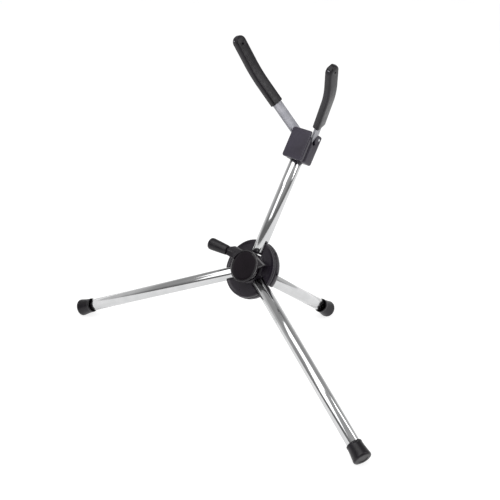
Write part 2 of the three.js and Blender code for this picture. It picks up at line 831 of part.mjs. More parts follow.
// Outline of a strip of even thickness that follows a line, with mitred corners.
function stripOutline(line, thickness) {
  const points = line.map(([a, b]) => new THREE.Vector2(a, b));
  const sides = points.map((point, index) => {
    const before = points[Math.max(index - 1, 0)];
    const after = points[Math.min(index + 1, points.length - 1)];
    const into = point.clone().sub(before).normalize();
    const out = after.clone().sub(point).normalize();
    const along = into.clone().add(out).normalize();
    const square = new THREE.Vector2(-along.y, along.x);
    const reference = out.lengthSq() > 0 ? out : into;
    const reach = thickness / 2 / Math.max(along.dot(reference), 0.3);
    return [
      point.clone().addScaledVector(square, reach).toArray(),
      point.clone().addScaledVector(square, -reach).toArray(),
    ];
  });
  return outline([...sides.map((side) => side[0]), ...sides.map((side) => side[1]).reverse()]);
}

const mirrored = (line) => line.map(([a, b]) => [-a, b]);

// One strip of flat steel: left arm, tab, bridge, tab and right arm.
function yokeStrip() {
  const [left, right] = ["left", "right"].map((side) => [
    [TAB_HALF_SPAN, TAB_BOTTOM],
    ...armLine(0, armLength(side)),
  ]);
  const line = [...mirrored(left).reverse(), ...right];
  const back = STRIP_MIDDLE - STRIP_WIDTH / 2;
  const front = STRIP_MIDDLE + STRIP_WIDTH / 2;
  const full = throughDepth(stripOutline(line, STRIP_THICKNESS), -EAR_RADIUS, front);
  const spacerRoom = rod(4.6, [-TAB_INSIDE, 0, 0], [TAB_INSIDE, 0, 0]);
  const bossRoom = [-1, 1].map((side) =>
    rod(PIVOT_BOSS_RADIUS + 0.4, [side * (WALL_INSIDE - 0.35), 0, 0], [side * 60, 0, 0], 40),
  );
  const formed = common(full, yokeSideForm(back, front));
  return cut(formed, yokePinHole(), spacerRoom, ...bossRoom);
}

// Side form of the yoke: an even strip with a round ear on the pivot.
function yokeSideForm(back, front) {
  const foot = -4;
  const tip = 200;
  const earTop = Math.asin(3 / EAR_RADIUS);
  const shape = new THREE.Shape();
  shape.moveTo(front, foot);
  shape.lineTo(front, tip);
  shape.lineTo(back, tip);
  shape.lineTo(back, 8);
  shape.absarc(0, 0, EAR_RADIUS, Math.PI - earTop, Math.PI * 1.5);
  shape.lineTo(EAR_RADIUS, foot);
  shape.closePath();
  return acrossStand(shape, -100, 100);
}

const yokePinHole = () => rod(YOKE_PIN_RADIUS + GAP, [-60, 0, 0], [60, 0, 0], 20);

// Rubber sleeve pushed over one arm, with a blind pocket for the strip and a hole near the tip.
function sleeve(side) {
  const start = SLEEVE_START[side];
  const end = armLength(side) + SLEEVE_TIP;
  const faceX = side === "left" ? mirrored : (line) => line;
  const edge = 1.8;
  const middle = -STRIP_MIDDLE;
  const halfWidth = SLEEVE_WIDTH / 2;
  const skin = throughDepth(
    stripOutline(faceX(armLine(start, end)), SLEEVE_THICKNESS),
    STRIP_MIDDLE - halfWidth,
    STRIP_MIDDLE + halfWidth,
    {
      bevelEnabled: true,
      bevelThickness: edge,
      bevelSize: edge,
      bevelOffset: -edge,
      bevelSegments: 2,
    },
  );
  const tipUp = armLine(start, end).at(-1)[1];
  const form = new THREE.Shape();
  form.moveTo(STRIP_MIDDLE - halfWidth - 1, 0);
  form.lineTo(STRIP_MIDDLE + halfWidth + 1, 0);
  form.lineTo(STRIP_MIDDLE + halfWidth + 1, tipUp - halfWidth);
  form.lineTo(STRIP_MIDDLE + halfWidth, tipUp - halfWidth);
  form.absarc(STRIP_MIDDLE, tipUp - halfWidth, halfWidth, 0, Math.PI);
  form.lineTo(STRIP_MIDDLE - halfWidth - 1, tipUp - halfWidth);
  form.closePath();
  const pocket = throughDepth(
    stripOutline(faceX(armLine(start - 5, armLength(side) + GAP)), STRIP_THICKNESS + 2 * GAP),
    STRIP_MIDDLE - STRIP_WIDTH / 2 - GAP,
    STRIP_MIDDLE + STRIP_WIDTH / 2 + GAP,
  );
  const rounded = common(skin, acrossStand(form, -120, 120));
  const holeUp = tipUp - 9;
  const hole = rod(1.3, [-120, middle, holeUp], [120, middle, holeUp], 12);
  return cut(rounded, pocket, hole);
}

function yokeSpacer() {
  const half = TAB_INSIDE - GAP;
  const sleeveTube = rod(2.9, [-half, 0, 0], [half, 0, 0], 20);
  return cut(sleeveTube, yokePinHole());
}

// ---- assembly ------------------------------------------------------------------------------

const stand = new THREE.Group();

// Everything is set out in the leaning frame of the hub: +Z up the post, -Y to the front.
const hub = new THREE.Group();
hub.position.z = hubHeight;
hub.rotation.x = -LEAN_BACK;
stand.add(hub);

addPart(hub, "hub_front_shell", frontShell(), blackPlastic);
addPart(hub, "hub_rear_shell", rearShell(), blackPlastic);
addPart(hub, "centre_bolt", centreBolt(), steel);
for (const [side, angle] of Object.entries(petalAngles)) {
  addPart(hub, `hub_screw_${side}`, shellScrew(), steel).rotation.y = angle;
}

addPart(hub, "clamp_plate", clampPlate(), blackPlastic);
addPart(hub, "knob_washer", knobWasher(), steel);
addPart(hub, "knob_body", knobBody(), glossBlack);
addPart(hub, "knob_cap", knobCap(), glossBlack);
addPart(hub, "knob_nut", knobNut(), brass);
addPart(hub, "lever_grip", leverGrip(), rubber);

const post = new THREE.Group();
hub.add(post);
addPart(post, "post_hinge_pin", hingePin(), steel);
addPart(post, "post_knuckle", knuckle(), blackPlastic);
addPart(post, "post_tube", postTube(), chrome);
addPart(post, "post_plug", postPlug(), blackPlastic);
addPart(post, "yoke_block", blockBody(), blockPlastic);
addPart(post, "yoke_block_cheek", frontCheek(), blockPlastic);
addPart(post, "yoke_block_screw", blockScrew(), steel);
addPart(post, "cheek_screw_left", cheekScrew(), steel).position.x = cheekScrewPlaces[0];
addPart(post, "cheek_screw_right", cheekScrew(), steel).position.x = cheekScrewPlaces[1];
addPart(post, "yoke_pin", yokePinRod(YOKE_PIN_RADIUS, halfBlock - 0.6), steel);

const yoke = new THREE.Group();
yoke.position.set(0, -YOKE_PIVOT_FRONT, YOKE_PIVOT_UP);
yoke.rotation.x = YOKE_LEAN;
post.add(yoke);
addPart(yoke, "yoke_strip", yokeStrip(), stripMetal);
addPart(yoke, "yoke_spacer", yokeSpacer(), steel);
addPart(yoke, "left_sleeve", sleeve("left"), rubber);
addPart(yoke, "right_sleeve", sleeve("right"), rubber);

for (const side of ["left", "right"]) {
  const leg = new THREE.Group();
  leg.rotation.y = spokeAngles[side];
  hub.add(leg);
  const tubeEnd = FRONT_LEG_LENGTH - FOOT_END_THICKNESS - GAP;
  addPart(leg, `${side}_leg_hinge_pin`, hingePin(), steel);
  addPart(leg, `${side}_leg_knuckle`, knuckle(), blackPlastic);
  addPart(leg, `${side}_leg_tube`, cut(tube(TUBE_START, tubeEnd), hingeHole()), chrome);
  addPart(leg, `${side}_foot_cap`, footCap(FRONT_LEG_LENGTH), rubber);
}

const rearLeg = new THREE.Group();
rearLeg.rotation.x = rearLegTurn;
hub.add(rearLeg);
addPart(rearLeg, "rear_leg_tube", rearLegTube(), chrome);
addPart(rearLeg, "rear_leg_plug", rearLegPlug(), blackPlastic);
addPart(rearLeg, "rear_leg_screw", rearLegScrew(), steel);
addPart(rearLeg, "rear_foot_cap", footCap(rearLegLength), rubber);

// Each foot is pressed flat where it stands, so the feet are cut off level with the floor.
stand.updateMatrixWorld(true);
for (const name of ["left_foot_cap", "right_foot_cap", "rear_foot_cap"]) {
  const foot = stand.getObjectByName(name);
  const floor = block([-600, -600, -50], [600, 600, 0]);
  floor.applyMatrix4(foot.matrixWorld.clone().invert());
  foot.geometry = cut(foot.geometry, floor);
}

const bounds = new THREE.Box3().setFromObject(stand, true);
stand.position.x = -(bounds.min.x + bounds.max.x) / 2;
stand.position.y = -(bounds.min.y + bounds.max.y) / 2;

export default stand;
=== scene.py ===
"""Folding saxophone stand: looks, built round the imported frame.

Every piece is modelled in millimetres in the frame of the part that it belongs to, and then put
in its place in the stand, in metres.
"""
import json
import math

import bmesh
import bpy
from mathutils import Matrix, Vector


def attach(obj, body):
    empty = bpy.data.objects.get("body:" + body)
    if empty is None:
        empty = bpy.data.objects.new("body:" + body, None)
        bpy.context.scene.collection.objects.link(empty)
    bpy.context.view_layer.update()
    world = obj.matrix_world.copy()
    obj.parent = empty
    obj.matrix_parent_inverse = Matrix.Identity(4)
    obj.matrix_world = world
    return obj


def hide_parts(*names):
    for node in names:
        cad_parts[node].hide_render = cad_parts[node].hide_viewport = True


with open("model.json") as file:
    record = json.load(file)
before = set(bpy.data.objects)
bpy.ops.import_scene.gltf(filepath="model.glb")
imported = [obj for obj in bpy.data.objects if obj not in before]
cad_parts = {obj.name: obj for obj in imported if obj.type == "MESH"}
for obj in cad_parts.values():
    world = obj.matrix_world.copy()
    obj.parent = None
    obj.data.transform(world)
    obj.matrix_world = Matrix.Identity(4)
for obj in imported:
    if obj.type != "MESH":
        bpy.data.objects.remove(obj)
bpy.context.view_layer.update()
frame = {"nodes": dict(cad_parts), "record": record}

# ---- driving dimensions, in millimetres ---------------------------------------------------------

DEGREE = math.pi / 180
GAP = 0.3

LEAN_BACK = 34.3 * DEGREE
SPOKE_STEP = 120 * DEGREE
REAR_SLOPE = 37.7 * DEGREE

TUBE_RADIUS = 8
TUBE_WALL = 1.2
TUBE_START = 22.6
FRONT_LEG_LENGTH = 287
FOOT_END = 3.2
FOOT_LENGTH = 21
REAR_TUBE_START = 12.6

HUB_RADIUS = 37.4
REAR_SHELL_RADIUS = 38
SHELL_SPLIT = 1.2
HUB_BACK = 13
SLOT_WIDTH = 17
SLOT_START = 19
HINGE_DISTANCE = 29
HINGE_BEHIND = 4
HINGE_HOLE = 1.8
BOLT_HOLE = 4.3
SHELL_SCREW_DISTANCE = 28.5
SOCKET_RADIUS = 11.5
SOCKET_END = 33
REAR_SCREW_AT = 25

KNOB_RADIUS = 20.7
KNOB_BACK = 9
KNOB_FACE = 15.6
CAP_RADIUS = 18.6
LEVER_RISE = 11.2 * DEGREE
LEVER_ROOT = (-15, -12.2, 9.6)
GRIP_START = 18
GRIP_END = 46

BLOCK_BOTTOM = 145.7
BLOCK_TOP = 185.1
BLOCK_HALF = 15.75
BLOCK_BACK = 11.2
GROOVE_BACK = -5.4
CHEEK_BACK = -9.2
BLOCK_FRONT = -13.2
SOCKET_DEPTH = 14
BLOCK_SCREW_UP = BLOCK_BOTTOM + 7.5
CHEEK_SCREW_UP = BLOCK_BOTTOM + 6
CHEEK_SCREW_OUT = 12.4

YOKE_LEAN = 55 * DEGREE
PIVOT_UP = 180
PIVOT_BACK = 6.8
STRIP_THICKNESS = 3
STRIP_WIDTH = 13.7
STRIP_MIDDLE = 5.7
TAB_SPAN = 10.4
TAB_TOP = 1.4
TAB_BOTTOM = -2.5
LOWER_SPREAD = 30.3 * DEGREE
UPPER_SPREAD = 18 * DEGREE
LOWER_LENGTH = 97
UPPER_LENGTH = {"left": 50, "right": 41}
BEND_RADIUS = 140
SLEEVE_WIDTH = 16.2
SLEEVE_THICKNESS = 9.3
SLEEVE_START = {"left": 52.7, "right": 34}
SLEEVE_TIP = 3
SLEEVE_MOUTH_DEPTH = 9
SLEEVE_HOLE_RADIUS = 1.3
SLEEVE_HOLE_BELOW_TIP = 9

ROUND = 72  # facets round a tube or a disc

# ---- places --------------------------------------------------------------------------------------

knob_joint = next(j for j in frame["record"]["behaviour"]["joints"] if j["name"] == "knob_turn")
forward = Vector(knob_joint["axis"]).normalized()
hub_centre = Vector(knob_joint["pos_m"]) - forward * KNOB_FACE * 0.001

HUB = (
    Matrix.Translation(hub_centre)
    @ Matrix.Rotation(-LEAN_BACK, 4, "X")
    @ Matrix.Scale(0.001, 4)
)
SPOKES = {
    "post": HUB,
    "right": HUB @ Matrix.Rotation(SPOKE_STEP, 4, "Y"),
    "left": HUB @ Matrix.Rotation(-SPOKE_STEP, 4, "Y"),
}
REAR_TURN = -math.pi / 2 - (REAR_SLOPE - LEAN_BACK)
REAR = HUB @ Matrix.Rotation(REAR_TURN, 4, "X")
YOKE = HUB @ Matrix.Translation((0, PIVOT_BACK, PIVOT_UP)) @ Matrix.Rotation(YOKE_LEAN, 4, "X")
LEVER = (
    HUB
    @ Matrix.Translation(LEVER_ROOT)
    @ Matrix.Rotation(LEVER_RISE, 4, "Z")
    @ Matrix.Rotation(-math.pi / 2, 4, "Y")
)

# ---- modelling by hand ---------------------------------------------------------------------------


def clear():
    """Back in object mode with nothing selected."""
    if bpy.context.mode != "OBJECT":
        bpy.ops.object.mode_set(mode="OBJECT")
    bpy.ops.object.select_all(action="DESELECT")


def only(*pieces):
    """Leaves these pieces selected in object mode, with the first one active."""
    clear()
    for piece in pieces:
        piece.select_set(True)
    bpy.context.view_layer.objects.active = pieces[0]


def added(name):
    """The primitive that was just added, under its name."""
    piece = bpy.context.object
    piece.name = name
    piece.data.name = name
    return piece


def edit(piece, kind="FACE"):
    only(piece)
    bpy.ops.object.mode_set(mode="EDIT")
    bpy.ops.mesh.select_mode(type=kind)
    bpy.ops.mesh.select_all(action="DESELECT")


def pick_faces(piece, test):
    """Selects the faces whose middle and normal pass the test."""
    edit(piece, "FACE")
    mesh = bmesh.from_edit_mesh(piece.data)
    for face in mesh.faces:
        if test(face.calc_center_median(), face.normal):
            face.select_set(True)
    bmesh.update_edit_mesh(piece.data)


def pick_edges(piece, test):
    """Selects the edges whose two ends pass the test."""
    edit(piece, "EDGE")
    mesh = bmesh.from_edit_mesh(piece.data)
    for edge in mesh.edges:
        if test(edge.verts[0].co, edge.verts[1].co):
            edge.select_set(True)
    bmesh.update_edit_mesh(piece.data)


def extrude(value):
    bpy.ops.mesh.extrude_region_move(TRANSFORM_OT_translate={"value": value})


def apply_modifier(piece, kind, **values):
    only(piece)
    modifier = piece.modifiers.new(kind.title(), kind)
    for key, value in values.items():
        setattr(modifier, key, value)
    bpy.ops.object.modifier_apply(modifier=modifier.name)
    return piece


def soften(piece, width, segments=2, angle=32):
    """Rounds the sharp edges."""
    return apply_modifier(
        piece,
        "BEVEL",
        width=width,
        segments=segments,
        limit_method="ANGLE",
        angle_limit=angle * DEGREE,
        use_clamp_overlap=True,
    )


def cut(piece, *cutters, operation="DIFFERENCE"):
    """Cuts each cutter out of the piece, or joins it on, and clears the cutter away."""
    for cutter in cutters:
        apply_modifier(piece, "BOOLEAN", object=cutter, operation=operation, solver="EXACT")
        only(cutter)
        bpy.ops.object.delete()
    edit(piece, "VERT")
    bpy.ops.mesh.select_all(action="SELECT")
    bpy.ops.mesh.remove_doubles(threshold=0.002)
    bpy.ops.mesh.dissolve_degenerate(threshold=0.002)
    only(piece)
    return piece


def put(piece, place):
    """Puts a finished piece, or a cutter, in its place and applies it."""
    only(piece)
    piece.matrix_world = place @ piece.matrix_world
    bpy.ops.object.transform_apply(location=True, rotation=True, scale=True)
    return piece


def wire(name, points):
    """A line drawn through the points: one vertex, extruded from point to point."""
    clear()
    bpy.ops.mesh.primitive_plane_add(size=1)
    piece = added(name)
    edit(piece, "VERT")
    bpy.ops.mesh.select_all(action="SELECT")
    bpy.ops.mesh.merge(type="CENTER")
    bpy.ops.transform.translate(value=points[0])
    for start, end in zip(points, points[1:]):
        extrude([b - a for a, b in zip(start, end)])
    return piece


def turned(name, profile, steps=ROUND):
    """A turned piece round the Z axis, from a profile of (radius, height) points."""
    piece = wire(name, [(radius, 0, height) for radius, height in profile])
    bpy.ops.mesh.select_all(action="SELECT")
    bpy.ops.mesh.spin(steps=steps, angle=2 * math.pi, center=(0, 0, 0), axis=(0, 0, 1))
    bpy.ops.mesh.select_all(action="SELECT")
    bpy.ops.mesh.remove_doubles(threshold=0.002)
    bpy.ops.mesh.normals_make_consistent(inside=False)
    only(piece)
    return piece


def turned_front(name, profile, steps=ROUND):
    """The same round the hub's axis, with heights measured towards the front."""
    return put(turned(name, profile, steps), Matrix.Rotation(math.pi / 2, 4, "X"))


def plate(name, outline, direction, depth):
    """A closed outline of points, filled and extruded."""
    piece = wire(name, outline)
    bpy.ops.mesh.select_all(action="SELECT")
    bpy.ops.mesh.edge_face_add()
    bpy.ops.mesh.select_all(action="SELECT")
    extrude([depth * part for part in direction])
    bpy.ops.mesh.select_all(action="SELECT")
    bpy.ops.mesh.normals_make_consistent(inside=False)
    only(piece)
    return piece


def front_plate(name, points, back, front):
    """An outline of (across, up) points, from its back to its front; the front is at -Y."""
    return plate(name, [(x, back, z) for x, z in points], (0, -1, 0), back - front)


def side_plate(name, points, low, high):
    """An outline of (forward, up) points, extruded across the stand."""
    return plate(name, [(low, -f, z) for f, z in points], (1, 0, 0), high - low)


def box(name, low, high):
    middle = [(a + b) / 2 for a, b in zip(low, high)]
    size = [b - a for a, b in zip(low, high)]
    clear()
    bpy.ops.mesh.primitive_cube_add(size=1, location=middle, scale=size)
    piece = added(name)
    only(piece)
    bpy.ops.object.transform_apply(location=True, rotation=True, scale=True)
    return piece


def peg(name, radius, start, end, steps=40):
    """A round cutter from one point to another."""
    along = Vector(end) - Vector(start)
    clear()
    bpy.ops.mesh.primitive_cylinder_add(
        vertices=steps,
        radius=radius,
        depth=along.length,
        location=(Vector(start) + Vector(end)) / 2,
        rotation=along.to_track_quat("Z", "Y").to_euler(),
    )
    piece = added(name)
    only(piece)
    bpy.ops.object.transform_apply(location=True, rotation=True, scale=True)
    return piece


def swept(name, thickness, width, corner, line, middle):
    """A strip with a rounded section that follows a line of (across, along) points."""
    points = [Vector((a, 0, b)) for a, b in line]
    legs = [b - a for a, b in zip(points, points[1:])]
    turns = [math.atan2(leg.x, leg.z) for leg in legs]
    clear()
    bpy.ops.mesh.primitive_plane_add(size=1, location=(0, 0, 0))
    piece = added(name)
    edit(piece, "VERT")
    bpy.ops.mesh.select_all(action="SELECT")
    bpy.ops.transform.resize(value=(thickness, width, 1))
    bpy.ops.mesh.bevel(offset=corner, segments=4, affect="VERTICES")
    bpy.ops.mesh.select_mode(type="FACE")
    bpy.ops.mesh.select_all(action="SELECT")
    bpy.ops.transform.translate(value=points[0] + Vector((0, middle, 0)))

    def turn(angle, centre):
        bpy.ops.transform.rotate(value=-angle, orient_axis="Y", center_override=centre)

    facing, stretch = 0, 1
    for index, point in enumerate(points):
        before = turns[max(index - 1, 0)]
        after = turns[min(index, len(turns) - 1)]
        new_stretch = 1 / math.cos((after - before) / 2)
        if index:
            extrude(legs[index - 1])
        turn(-facing, point)
        bpy.ops.transform.resize(value=(new_stretch / stretch, 1, 1), center_override=point)
        facing, stretch = (before + after) / 2, new_stretch
        turn(facing, point)
    bpy.ops.mesh.select_all(action="SELECT")
    bpy.ops.mesh.remove_doubles(threshold=0.002)
    bpy.ops.mesh.normals_make_consistent(inside=False)
    only(piece)
    return piece


def finished(piece, place, body, material, slot, *nodes, smooth=35):
    """Smooths a piece, puts it in the stand, and gives it its finish and its body."""
    only(piece)
    bpy.ops.object.shade_smooth_by_angle(angle=smooth * DEGREE)
    put(piece, place)
    piece.data.materials.clear()
    piece.data.materials.append(material)
    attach(piece, body)
    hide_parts(*nodes)
    return piece


# ---- finishes ------------------------------------------------------------------------------------


def new_finish(name, **values):
    """A material with a Principled shader, its object coordinates and its fixed values set."""
    material = bpy.data.materials.new(name)
    material.use_nodes = True
    nodes = material.node_tree.nodes
    shader = nodes["Principled BSDF"]
    for key, value in values.items():
        shader.inputs[key.replace("_", " ")].default_value = value
    coordinates = nodes.new("ShaderNodeTexCoord").outputs["Object"]
    return material, shader, coordinates


def noise(material, coordinates, scale, detail=3, stretch=(1, 1, 1)):
    """Noise over the piece; the stretch makes it run along one way."""
    nodes, links = material.node_tree.nodes, material.node_tree.links
    mapping = nodes.new("ShaderNodeMapping")
    mapping.inputs["Scale"].default_value = stretch
    texture = nodes.new("ShaderNodeTexNoise")
    texture.inputs["Scale"].default_value = scale
    texture.inputs["Detail"].default_value = detail
    links.new(coordinates, mapping.inputs["Vector"])
    links.new(mapping.outputs["Vector"], texture.inputs["Vector"])
    return texture.outputs["Fac"]


def spread(material, value, low, high, start=0.3, end=0.7):
    """Maps a noise value on to a range."""
    nodes, links = material.node_tree.nodes, material.node_tree.links
    ranged = nodes.new("ShaderNodeMapRange")
    ranged.inputs["From Min"].default_value = start
    ranged.inputs["From Max"].default_value = end
    ranged.inputs["To Min"].default_value = low
    ranged.inputs["To Max"].default_value = high
    links.new(value, ranged.inputs["Value"])
    return ranged.outputs["Result"]


def blend_colours(material, value, first, second, start=0.35, end=0.65):
    """A colour that goes from the first to the second with a noise value."""
    nodes, links = material.node_tree.nodes, material.node_tree.links
    ramp = nodes.new("ShaderNodeValToRGB")
    ramp.color_ramp.elements[0].position = start
    ramp.color_ramp.elements[0].color = (*first, 1)
    ramp.color_ramp.elements[1].position = end
    ramp.color_ramp.elements[1].color = (*second, 1)
    links.new(value, ramp.inputs["Fac"])
    return ramp.outputs["Color"]


def relief(material, shader, *layers):
    """Bumps laid over each other, each a height value and its depth in metres."""
    nodes, links = material.node_tree.nodes, material.node_tree.links
    normal = None
    for height, depth in layers:
        bump = nodes.new("ShaderNodeBump")
        bump.inputs["Distance"].default_value = depth
        bump.inputs["Strength"].default_value = 1
        links.new(height, bump.inputs["Height"])
        if normal:
            links.new(normal, bump.inputs["Normal"])
        normal = bump.outputs["Normal"]
    links.new(normal, shader.inputs["Normal"])


def chrome_finish():
    """Bright chrome plate: near-mirror, with faint polishing lines, haze and handling marks."""
    material, shader, place = new_finish("bright_chrome", Metallic=1.0)
    link = material.node_tree.links.new
    haze = noise(material, place, 60, 4)
    marks = noise(material, place, 900, 2, (1, 0.2, 0.2))
    colour = blend_colours(material, haze, (0.565, 0.57, 0.575), (0.615, 0.615, 0.62))
    link(colour, shader.inputs["Base Color"])
    link(spread(material, haze, 0.06, 0.12), shader.inputs["Roughness"])
    relief(material, shader, (marks, 0.0000015), (haze, 0.00002))
    return material


def zinc_finish():
    """Zinc plate on screws and pins: dull silver with a fine crystal mottle."""
    material, shader, place = new_finish("zinc_plate", Metallic=1.0)
    link = material.node_tree.links.new
    mottle = noise(material, place, 1500, 4)
    colour = blend_colours(material, mottle, (0.5, 0.51, 0.53), (0.68, 0.69, 0.7))
    link(colour, shader.inputs["Base Color"])
    link(spread(material, mottle, 0.22, 0.4), shader.inputs["Roughness"])
    relief(material, shader, (mottle, 0.00001))
    return material


def strip_finish():
    """Satin nickel on the yoke strip, with brushing along it and soft cloudy patches."""
    material, shader, place = new_finish("satin_nickel", Metallic=0.85)
    link = material.node_tree.links.new
    brushing = noise(material, place, 2600, 2, (1, 1, 0.04))
    cloud = noise(material, place, 90, 3)
    colour = blend_colours(material, cloud, (0.25, 0.25, 0.275), (0.32, 0.32, 0.345))
    link(colour, shader.inputs["Base Color"])
    link(spread(material, brushing, 0.34, 0.5), shader.inputs["Roughness"])
    relief(material, shader, (brushing, 0.000006))
    return material


def brass_finish():
    """Machined brass, slightly tarnished."""
    material, shader, place = new_finish("machined_brass", Metallic=1.0)
    link = material.node_tree.links.new
    tarnish = noise(material, place, 400, 4)
    colour = blend_colours(material, tarnish, (0.45, 0.33, 0.14), (0.7, 0.56, 0.28))
    link(colour, shader.inputs["Base Color"])
    link(spread(material, tarnish, 0.25, 0.42), shader.inputs["Roughness"])
    relief(material, shader, (tarnish, 0.00001))
    return material


def moulded_finish(name, dark, light, roughness, grain_depth, **values):
    """Moulded plastic: a fine spark-eroded grain, cloudy flow patches and rubbed highlights."""
    material, shader, place = new_finish(name, **values)
    link = material.node_tree.links.new
    flow = noise(material, place, 45, 4)
    grain = noise(material, place, 3200, 2)
    rubbed = noise(material, place, 320, 3)
    link(blend_colours(material, flow, dark, light), shader.inputs["Base Color"])
    link(spread(material, rubbed, *roughness), shader.inputs["Roughness"])
    relief(material, shader, (grain, grain_depth), (rubbed, grain_depth * 0.8))
    return material


CHROME = chrome_finish()
ZINC = zinc_finish()
NICKEL = strip_finish()
BRASS = brass_finish()
HUB_PLASTIC = moulded_finish(
    "hub_plastic", (0.012, 0.009, 0.0145), (0.018, 0.0135, 0.0215), (0.26, 0.38), 0.00001,
    Specular_IOR_Level=0.5,
)
BLOCK_PLASTIC = moulded_finish(
    "block_plastic", (0.030, 0.025, 0.038), (0.042, 0.036, 0.054), (0.30, 0.42), 0.000012,
    Specular_IOR_Level=0.5,
)
GLOSS_BLACK = moulded_finish(
    "gloss_black", (0.005, 0.003, 0.005), (0.008, 0.005, 0.008), (0.07, 0.13), 0.0000012,
    Specular_IOR_Level=0.27,
)
KNOB_BLACK = moulded_finish(
    "knob_black", (0.006, 0.004, 0.007), (0.010, 0.007, 0.011), (0.15, 0.22), 0.000002,
    Specular_IOR_Level=0.85,
)
RUBBER = moulded_finish(
    "soft_rubber", (0.004, 0.003, 0.0048), (0.009, 0.0068, 0.0105), (0.28, 0.42), 0.000012,
    Specular_IOR_Level=0.34,
)

# ---- tubes, knuckles and feet ---------------------------------------------------------------------


def tube(name, start, end, place, body):
    """A chromed tube with its wall turned in at both ends and the sharp edges taken off."""
    inside = TUBE_RADIUS - TUBE_WALL
    deep = 14
    lip = 0.35
    profile = [
        (0, start + deep),
        (inside, start + deep),
        (inside, start + lip),
        (inside + lip, start),
        (TUBE_RADIUS - lip, start),
        (TUBE_RADIUS, start + lip),
        (TUBE_RADIUS, end - lip),
        (TUBE_RADIUS - lip, end),
        (inside + lip, end),
        (inside, end - lip),
        (inside, end - deep),
        (0, end - deep),
    ]
    piece = turned(name, profile)
    finished(piece, place, body, CHROME, "chrome_tube", name, smooth=50)


def foot_cap(name, length, place, body):
    """A rubber foot: a collar with a bead, a flared skirt, and an end the floor presses flat."""
    profile = [
        (0, -FOOT_END),
        (8.3, -FOOT_END),
        (8.3, -FOOT_LENGTH + 0.4),
        (8.6, -FOOT_LENGTH),
        (9.2, -FOOT_LENGTH),
        (9.5, -FOOT_LENGTH + 0.3),
        (9.6, -FOOT_LENGTH + 1.2),
        (9.6, -FOOT_LENGTH + 2.1),
        (9.3, -FOOT_LENGTH + 2.6),
        (9.4, -FOOT_LENGTH + 3.6),
        (9.9, -12),
        (10.8, -5.2),
        (11.15, -3.2),
        (11.2, -2.2),
        (11.0, -1.2),
        (10.4, -0.45),
        (9.6, -0.1),
        (8.8, 0),
        (6.2, 0),
        (5.8, -0.5),
        (0, -0.5),
    ]
    piece = turned(name, profile)
    put(piece, Matrix.Translation((0, 0, length)))
    only(piece)
    bpy.ops.object.shade_smooth_by_angle(angle=40 * DEGREE)
    put(piece, place)
    edit(piece, "VERT")
    bpy.ops.mesh.select_all(action="SELECT")
    bpy.ops.mesh.bisect(
        plane_co=(0, 0, 0.00005), plane_no=(0, 0, 1), clear_inner=True, use_fill=True
    )
    only(piece)
    piece.data.materials.append(RUBBER)
    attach(piece, body)
    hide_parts(name)


def knuckle(name, place, body):
    """The plastic nose in the hub end of a hinged tube."""
    profile = [
        (0, 20.2),
        (5.9, 20.2),
        (6.6, 20.35),
        (7.4, 20.9),
        (7.85, 21.6),
        (8, 22.3),
        (6.5, 22.3),
        (6.5, 48),
        (0, 48),
    ]
    piece = turned(name, profile, 48)
    finished(piece, place, body, HUB_PLASTIC, "black_plastic", name)


def screw(name, place, body, reach, head_radius, head_height):
    """A pan-head screw along +Z with its tip at 0 and a cross recess in its head."""
    shank = 1.1 if head_radius < 2.5 else 1.5
    top = reach + head_height
    profile = [
        (0, 0),
        (shank * 0.6, 0),
        (shank, 1),
        (shank, reach),
        (head_radius, reach),
        (head_radius, reach + head_height * 0.45),
        (head_radius * 0.9, reach + head_height * 0.75),
        (head_radius * 0.6, top),
        (0, top),
    ]
    piece = turned(name, profile, 36)
    arm = head_radius * 0.55
    half = head_radius * 0.13
    depth = head_height * 0.6
    cut(
        piece,
        box("slot", (-arm, -half, top - depth), (arm, half, top + 1)),
        box("slot", (-half, -arm, top - depth), (half, arm, top + 1)),
    )
    finished(piece, place, body, ZINC, "zinc_steel", name)


def rear_leg_length():
    """Hub centre to the end of the rear foot, from where the foot's lowest point lies."""
    node = frame["nodes"]["rear_foot_cap"]
    down = (REAR.to_3x3() @ Vector((0, 0, 1))).normalized()
    return max((vertex.co - hub_centre).dot(down) for vertex in node.data.vertices) * 1000


def build_tubes_and_feet():
    leg_tube_end = FRONT_LEG_LENGTH - FOOT_END - GAP
    tube("post_tube", TUBE_START, BLOCK_BOTTOM + SOCKET_DEPTH, SPOKES["post"], "post")
    knuckle("post_knuckle", SPOKES["post"], "post")
    for side in ("left", "right"):
        body = f"{side}_leg"
        tube(f"{side}_leg_tube", TUBE_START, leg_tube_end, SPOKES[side], body)
        knuckle(f"{side}_leg_knuckle", SPOKES[side], body)
        foot_cap(f"{side}_foot_cap", FRONT_LEG_LENGTH, SPOKES[side], body)
    length = rear_leg_length()
    tube("rear_leg_tube", REAR_TUBE_START, length - FOOT_END - GAP, REAR, "hub")
    foot_cap("rear_foot_cap", length, REAR, "hub")


# ---- hub -----------------------------------------------------------------------------------------


def spoke_slots(reach=60):
    """Cutters for the slots that the post and the front legs lie and swing in."""
    low = (-SLOT_WIDTH / 2, -reach, SLOT_START)
    high = (SLOT_WIDTH / 2, reach, reach)
    return [
        put(box("slot", low, high), Matrix.Rotation(turn * SPOKE_STEP, 4, "Y"))
        for turn in (0, 1, -1)
    ]


